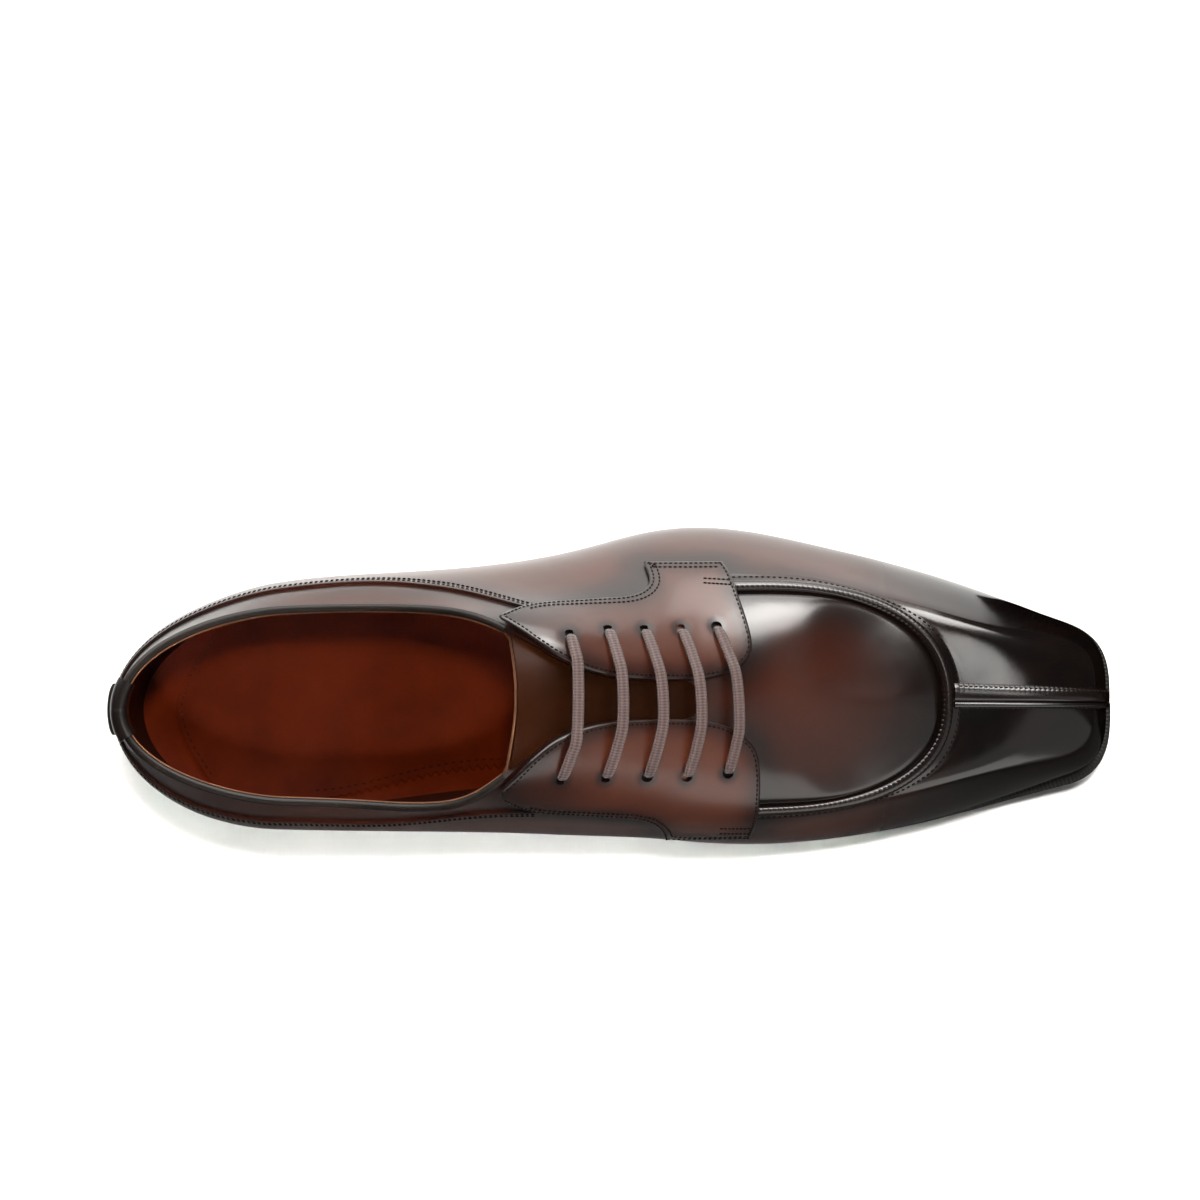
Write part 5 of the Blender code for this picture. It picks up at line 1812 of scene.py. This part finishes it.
@dataclass
class Lacing:
    """One waxed lace: over in straight bars, under in diagonals, and hidden back to the top eyelet."""

    half_width: float = 1.75
    half_thick: float = 0.8
    facing_top: float = 1.75
    bow: float = 3.4
    arch: float = 2.4
    under: float = -3.1
    ahead: float = 0.35
    over_tongue: float = 0.95
    step: float = 0.45
    return_out: float = 4.0
    squeeze: float = 0.5
    swell: float = 0.1
    squeeze_run: float = 2.4
    finish: WovenLace = WovenLace()

    def eyelet(self, row: EyeletRow, side: Side, rise: float, inward: float = 0.0) -> Array:
        """Return a point over or under an eyelet, moved towards the lacing gap and a little to the toe."""
        station, half = row.place(side)
        return BRIDGED.on_plan(np.array([[station + self.ahead, half - inward]]), side, rise)[0][0]

    def bar(self, row: EyeletRow) -> Array:
        """Return the route of one bar from its medial to its lateral eyelet."""
        lift = self.facing_top + self.half_thick + 0.25
        halves = []
        for side in (Side.MEDIAL, Side.LATERAL):
            station, half = row.place(side)
            other = row.place(Side.LATERAL if side is Side.MEDIAL else Side.MEDIAL)[0]
            edge = float(LAST.curves[-1][side.value](station)) + 0.4
            outs = np.linspace(half - 2.0, edge, 4)
            stations = station + self.ahead + (other - station) * (half - outs) / (row.lateral + row.medial)
            halves.append(BRIDGED.on_plan(np.stack([stations, outs], axis=1), side, lift)[0])
        points = np.concatenate([halves[0], halves[1][::-1]])
        share = (points[:, 1] - points[0, 1]) / (points[-1, 1] - points[0, 1])
        normal = unit(np.cross(points[-1] - points[0], [1.0, 0.0, -0.55]))
        normal = normal * np.sign(normal[2])
        forward = unit(np.array([normal[2], 0.0, -normal[0]]))
        lifted = np.sin(math.pi * share)[:, None] * (self.arch * normal + self.bow * forward)
        ways = ((self.under, 0.3), (0.4, 0.45), (1.9, 0.85))
        first = [self.eyelet(row, Side.MEDIAL, rise, shift) for rise, shift in ways]
        last = [self.eyelet(row, Side.LATERAL, rise, shift) for rise, shift in reversed(ways)]
        return np.concatenate([first, points + lifted, last])

    def diagonal(self, near: EyeletRow, far: EyeletRow, tongue: BVHTree) -> Array:
        """Return the route from a lateral eyelet to the next medial one, lying on the tongue."""
        start = self.eyelet(near, Side.LATERAL, self.under, 0.3)
        end = self.eyelet(far, Side.MEDIAL, self.under, 0.3)
        plan = start + (end - start) * np.linspace(0.16, 0.84, 9)[:, None]
        above = plan * np.array([1.0, 1.0, 0.0]) + np.array([0.0, 0.0, 140.0])
        down = np.tile([0.0, 0.0, -1.0], (len(plan), 1))
        return cast(tongue, above, down) + np.array([0.0, 0.0, self.over_tongue])

    def build(self, shop: Shop, tongue: BVHTree) -> None:
        """Build and dress the lace.

        Args:
            shop: Not used.
            tongue: The tongue's outer face, on which the hidden diagonals lie.
        """
        route = []
        for row, far in zip(EYELETS, [*EYELETS[1:], None]):
            route.append(self.bar(row))
            if far is not None:
                route.append(self.diagonal(row, far, tongue))
        route.append([self.eyelet(row, Side.LATERAL, self.under, -self.return_out) for row in EYELETS[::-1]])
        points = smooth_through(np.concatenate(route), self.step)
        along = unit(np.gradient(points, axis=0))
        # The lace lies flat: its width points to the toe, and to the side where it runs back to the heel
        backwards = np.maximum(-along[:, :1] - 0.6, 0.0)
        forward = np.array([1.0, 0.0, -0.5]) + backwards * np.array([0.0, 8.0, -4.0])
        side = unit(forward - (forward * along).sum(axis=1, keepdims=True) * along)
        for _ in range(12):
            side = unit(side + np.roll(side, 1, axis=0) + np.roll(side, -1, axis=0))
        side = unit(side - (side * along).sum(axis=1, keepdims=True) * along)
        up = np.cross(along, side)
        holes = np.array([self.eyelet(row, s, 0.6) for row in EYELETS for s in Side])
        near = bell(distance_to(points, holes), self.squeeze_run)
        scale = np.stack([1 - self.squeeze * near, 1 + self.swell * near], axis=1)
        turns = np.linspace(0.0, 2 * math.pi, 21)
        flat = np.stack([np.sign(np.cos(turns)) * np.abs(np.cos(turns)) ** 0.7 * self.half_width,
                         np.sign(np.sin(turns)) * np.abs(np.sin(turns)) ** 0.8 * self.half_thick], axis=1)
        length = float(run_along(points)[-1])
        material = self.finish.build(length)
        piece = Sweep(points, side, up).build("lace_laced", flat, scale)
        dress(piece, [material], "lace", *(f"lace_bar_{i}" for i in range(1, len(EYELETS) + 1)))
        log.info("lace: %.0f mm laced", length)


class SoftBox(NamedTuple):
    """One rectangular soft box aimed at a point, which may light or be reflected only; metres and watts."""

    name: str
    place: tuple[float, float, float]
    target: tuple[float, float, float]
    size: Pair
    power: float
    diffuse: bool = True
    glossy: bool = True
    spread: float = 180.0


MEDIAL_AIM = (0.1, -0.02, 0.03)
SOFT_BOXES = [
    SoftBox("box_lateral", (-0.2, 1.0, 0.55), (-0.1, 0.05, 0.1), (1.9, 1.0), 44.0, diffuse=False),
    SoftBox("box_front", (0.425, 0.644, 0.666), (0.05, 0.02, 0.055), (0.44, 0.40), 8.5),
    SoftBox("box_toe", (0.646, 0.194, 1.10), (0.11, 0.02, 0.04), (0.26, 0.17), 1.0),
    SoftBox("box_medial", (0.35, -0.9, 0.6), MEDIAL_AIM, (1.2, 0.7), 5.0, diffuse=False),
    SoftBox("box_medial_toe", (0.752, -0.559, 0.585), MEDIAL_AIM, (1.15, 1.0), 1.9, diffuse=False),
    SoftBox("box_overhead", (0.04, 0.3, 1.65), (0.0, 0.0, 0.0), (0.16, 0.16), 40.0, glossy=False),
    SoftBox("box_inside", (-0.1, -0.38, 1.6), (-0.08, 0.01, 0.03), (0.3, 0.3), 0.24, glossy=False,
            spread=6.0),
]


@dataclass
class Studio:
    """Pale floor, soft boxes and the camera over the shoe."""

    height: float = 1.1
    lens: float = 104.8
    aim: Pair = (-0.0063, 0.0270)
    over: Pair = (0.0, -0.0014)
    floor: Colour = (0.9, 0.9, 0.9)
    warm: Colour = (1.0, 0.975, 0.94)
    room_light: float = 0.05
    card_height: float = 0.0004

    def build(self) -> None:
        """Build the floor, the lights, the dark cards and the camera."""
        self.lay_floor()
        self.light_world()
        for box in SOFT_BOXES:
            self.hang(box)
        self.flag("flag_medial", 0.06, ((-1.4, -1.4), (1.4, -1.4), (1.4, -0.03), (-1.4, -0.03)))
        self.flag("flag_toe", 0.0, ((0.14, -0.03), (1.4, -0.03), (1.4, 1.4), (0.95, 1.4), (0.146, 0.09),
                                    (0.12, 0.05)))
        self.place_camera()

    def lay_floor(self) -> None:
        """Lay the pale floor."""
        bpy.ops.object.select_all(action="DESELECT")
        bpy.ops.mesh.primitive_plane_add(size=8.0)
        ground = bpy.context.object
        ground.name = "floor"
        shader = Shader("pale_floor")
        shader.set(Base_Color=(*self.floor, 1.0), Roughness=0.8)
        ground.data.materials.append(shader.material)

    def light_world(self) -> None:
        """Give the room a little even light."""
        world = bpy.data.worlds.new("studio")
        world.use_nodes = True
        background = world.node_tree.nodes["Background"]
        background.inputs["Color"].default_value = (1.0, 1.0, 1.0, 1.0)
        background.inputs["Strength"].default_value = self.room_light
        bpy.context.scene.world = world
        bpy.context.scene.view_settings.view_transform = "Standard"

    def hang(self, box: SoftBox) -> None:
        """Hang one soft box."""
        light = bpy.data.lights.new(box.name, "AREA")
        light.shape = "RECTANGLE"
        light.size, light.size_y = box.size
        light.energy = box.power
        light.color = self.warm
        light.spread = math.radians(box.spread)
        lamp = bpy.data.objects.new(box.name, light)
        bpy.context.collection.objects.link(lamp)
        lamp.location = box.place
        ahead = Vector(box.target) - Vector(box.place)
        lamp.rotation_euler = ahead.to_track_quat("-Z", "Y").to_euler()
        lamp.visible_diffuse = box.diffuse
        lamp.visible_glossy = box.glossy

    def place_camera(self) -> None:
        """Place the camera over the shoe, its upper edge towards the lateral side."""
        camera = bpy.data.cameras.new("camera")
        camera.lens = self.lens
        camera.sensor_width = 36.0
        place = Vector((*self.over, self.height))
        eye = bpy.data.objects.new("camera", camera)
        bpy.context.collection.objects.link(eye)
        eye.location = place
        ahead = (Vector((*self.aim, 0.0)) - place).normalized()
        right = ahead.cross(Vector((0.0, 1.0, 0.0))).normalized()
        eye.rotation_euler = Matrix((right, right.cross(ahead), -ahead)).transposed().to_euler()
        bpy.context.scene.camera = eye

    def flag(self, name: str, grey: float, corners: Sequence[Pair]) -> None:
        """Lay a dark card on the floor that only reflections see, to keep a side of the shoe dark."""
        mesh = bpy.data.meshes.new(name)
        mesh.from_pydata([(x, y, self.card_height) for x, y in corners], [], [range(len(corners))])
        card = bpy.data.objects.new(name, mesh)
        bpy.context.collection.objects.link(card)
        shader = Shader(name)
        shader.set(Base_Color=(grey, grey, grey, 1.0), Roughness=1.0, Specular_IOR_Level=0.0)
        mesh.materials.append(shader.material)
        card.visible_camera = False
        card.visible_diffuse = False
        card.visible_shadow = False


def main() -> None:
    """Build the studio and every sub-assembly in order."""
    logging.basicConfig(level=logging.INFO, format="%(name)s: %(message)s")
    Studio().build()
    shop = Shop.open(Finishes())
    Sole().build(shop)
    Inside().build(shop)
    outlines = [facing.build(shop) for facing in (lateral_facing(), medial_facing())]
    Upper().build(shop, outlines)
    Seams().build(shop)
    HeelTab().build(shop)
    # Dark discs under the lace holes, painted shade
    HoleShadeDiscs().build(shop)
    tongue = Tongue()
    tongue.build(shop)
    Lacing().build(shop, lattice_tree(tongue.grid()))
    shop.stitches.build("stitches", shop.thread, "calf_dark")
    shop.inner_stitches.build("sock_stitches", shop.sock_thread, "lining_leather")


if __name__ == "__main__":
    main()
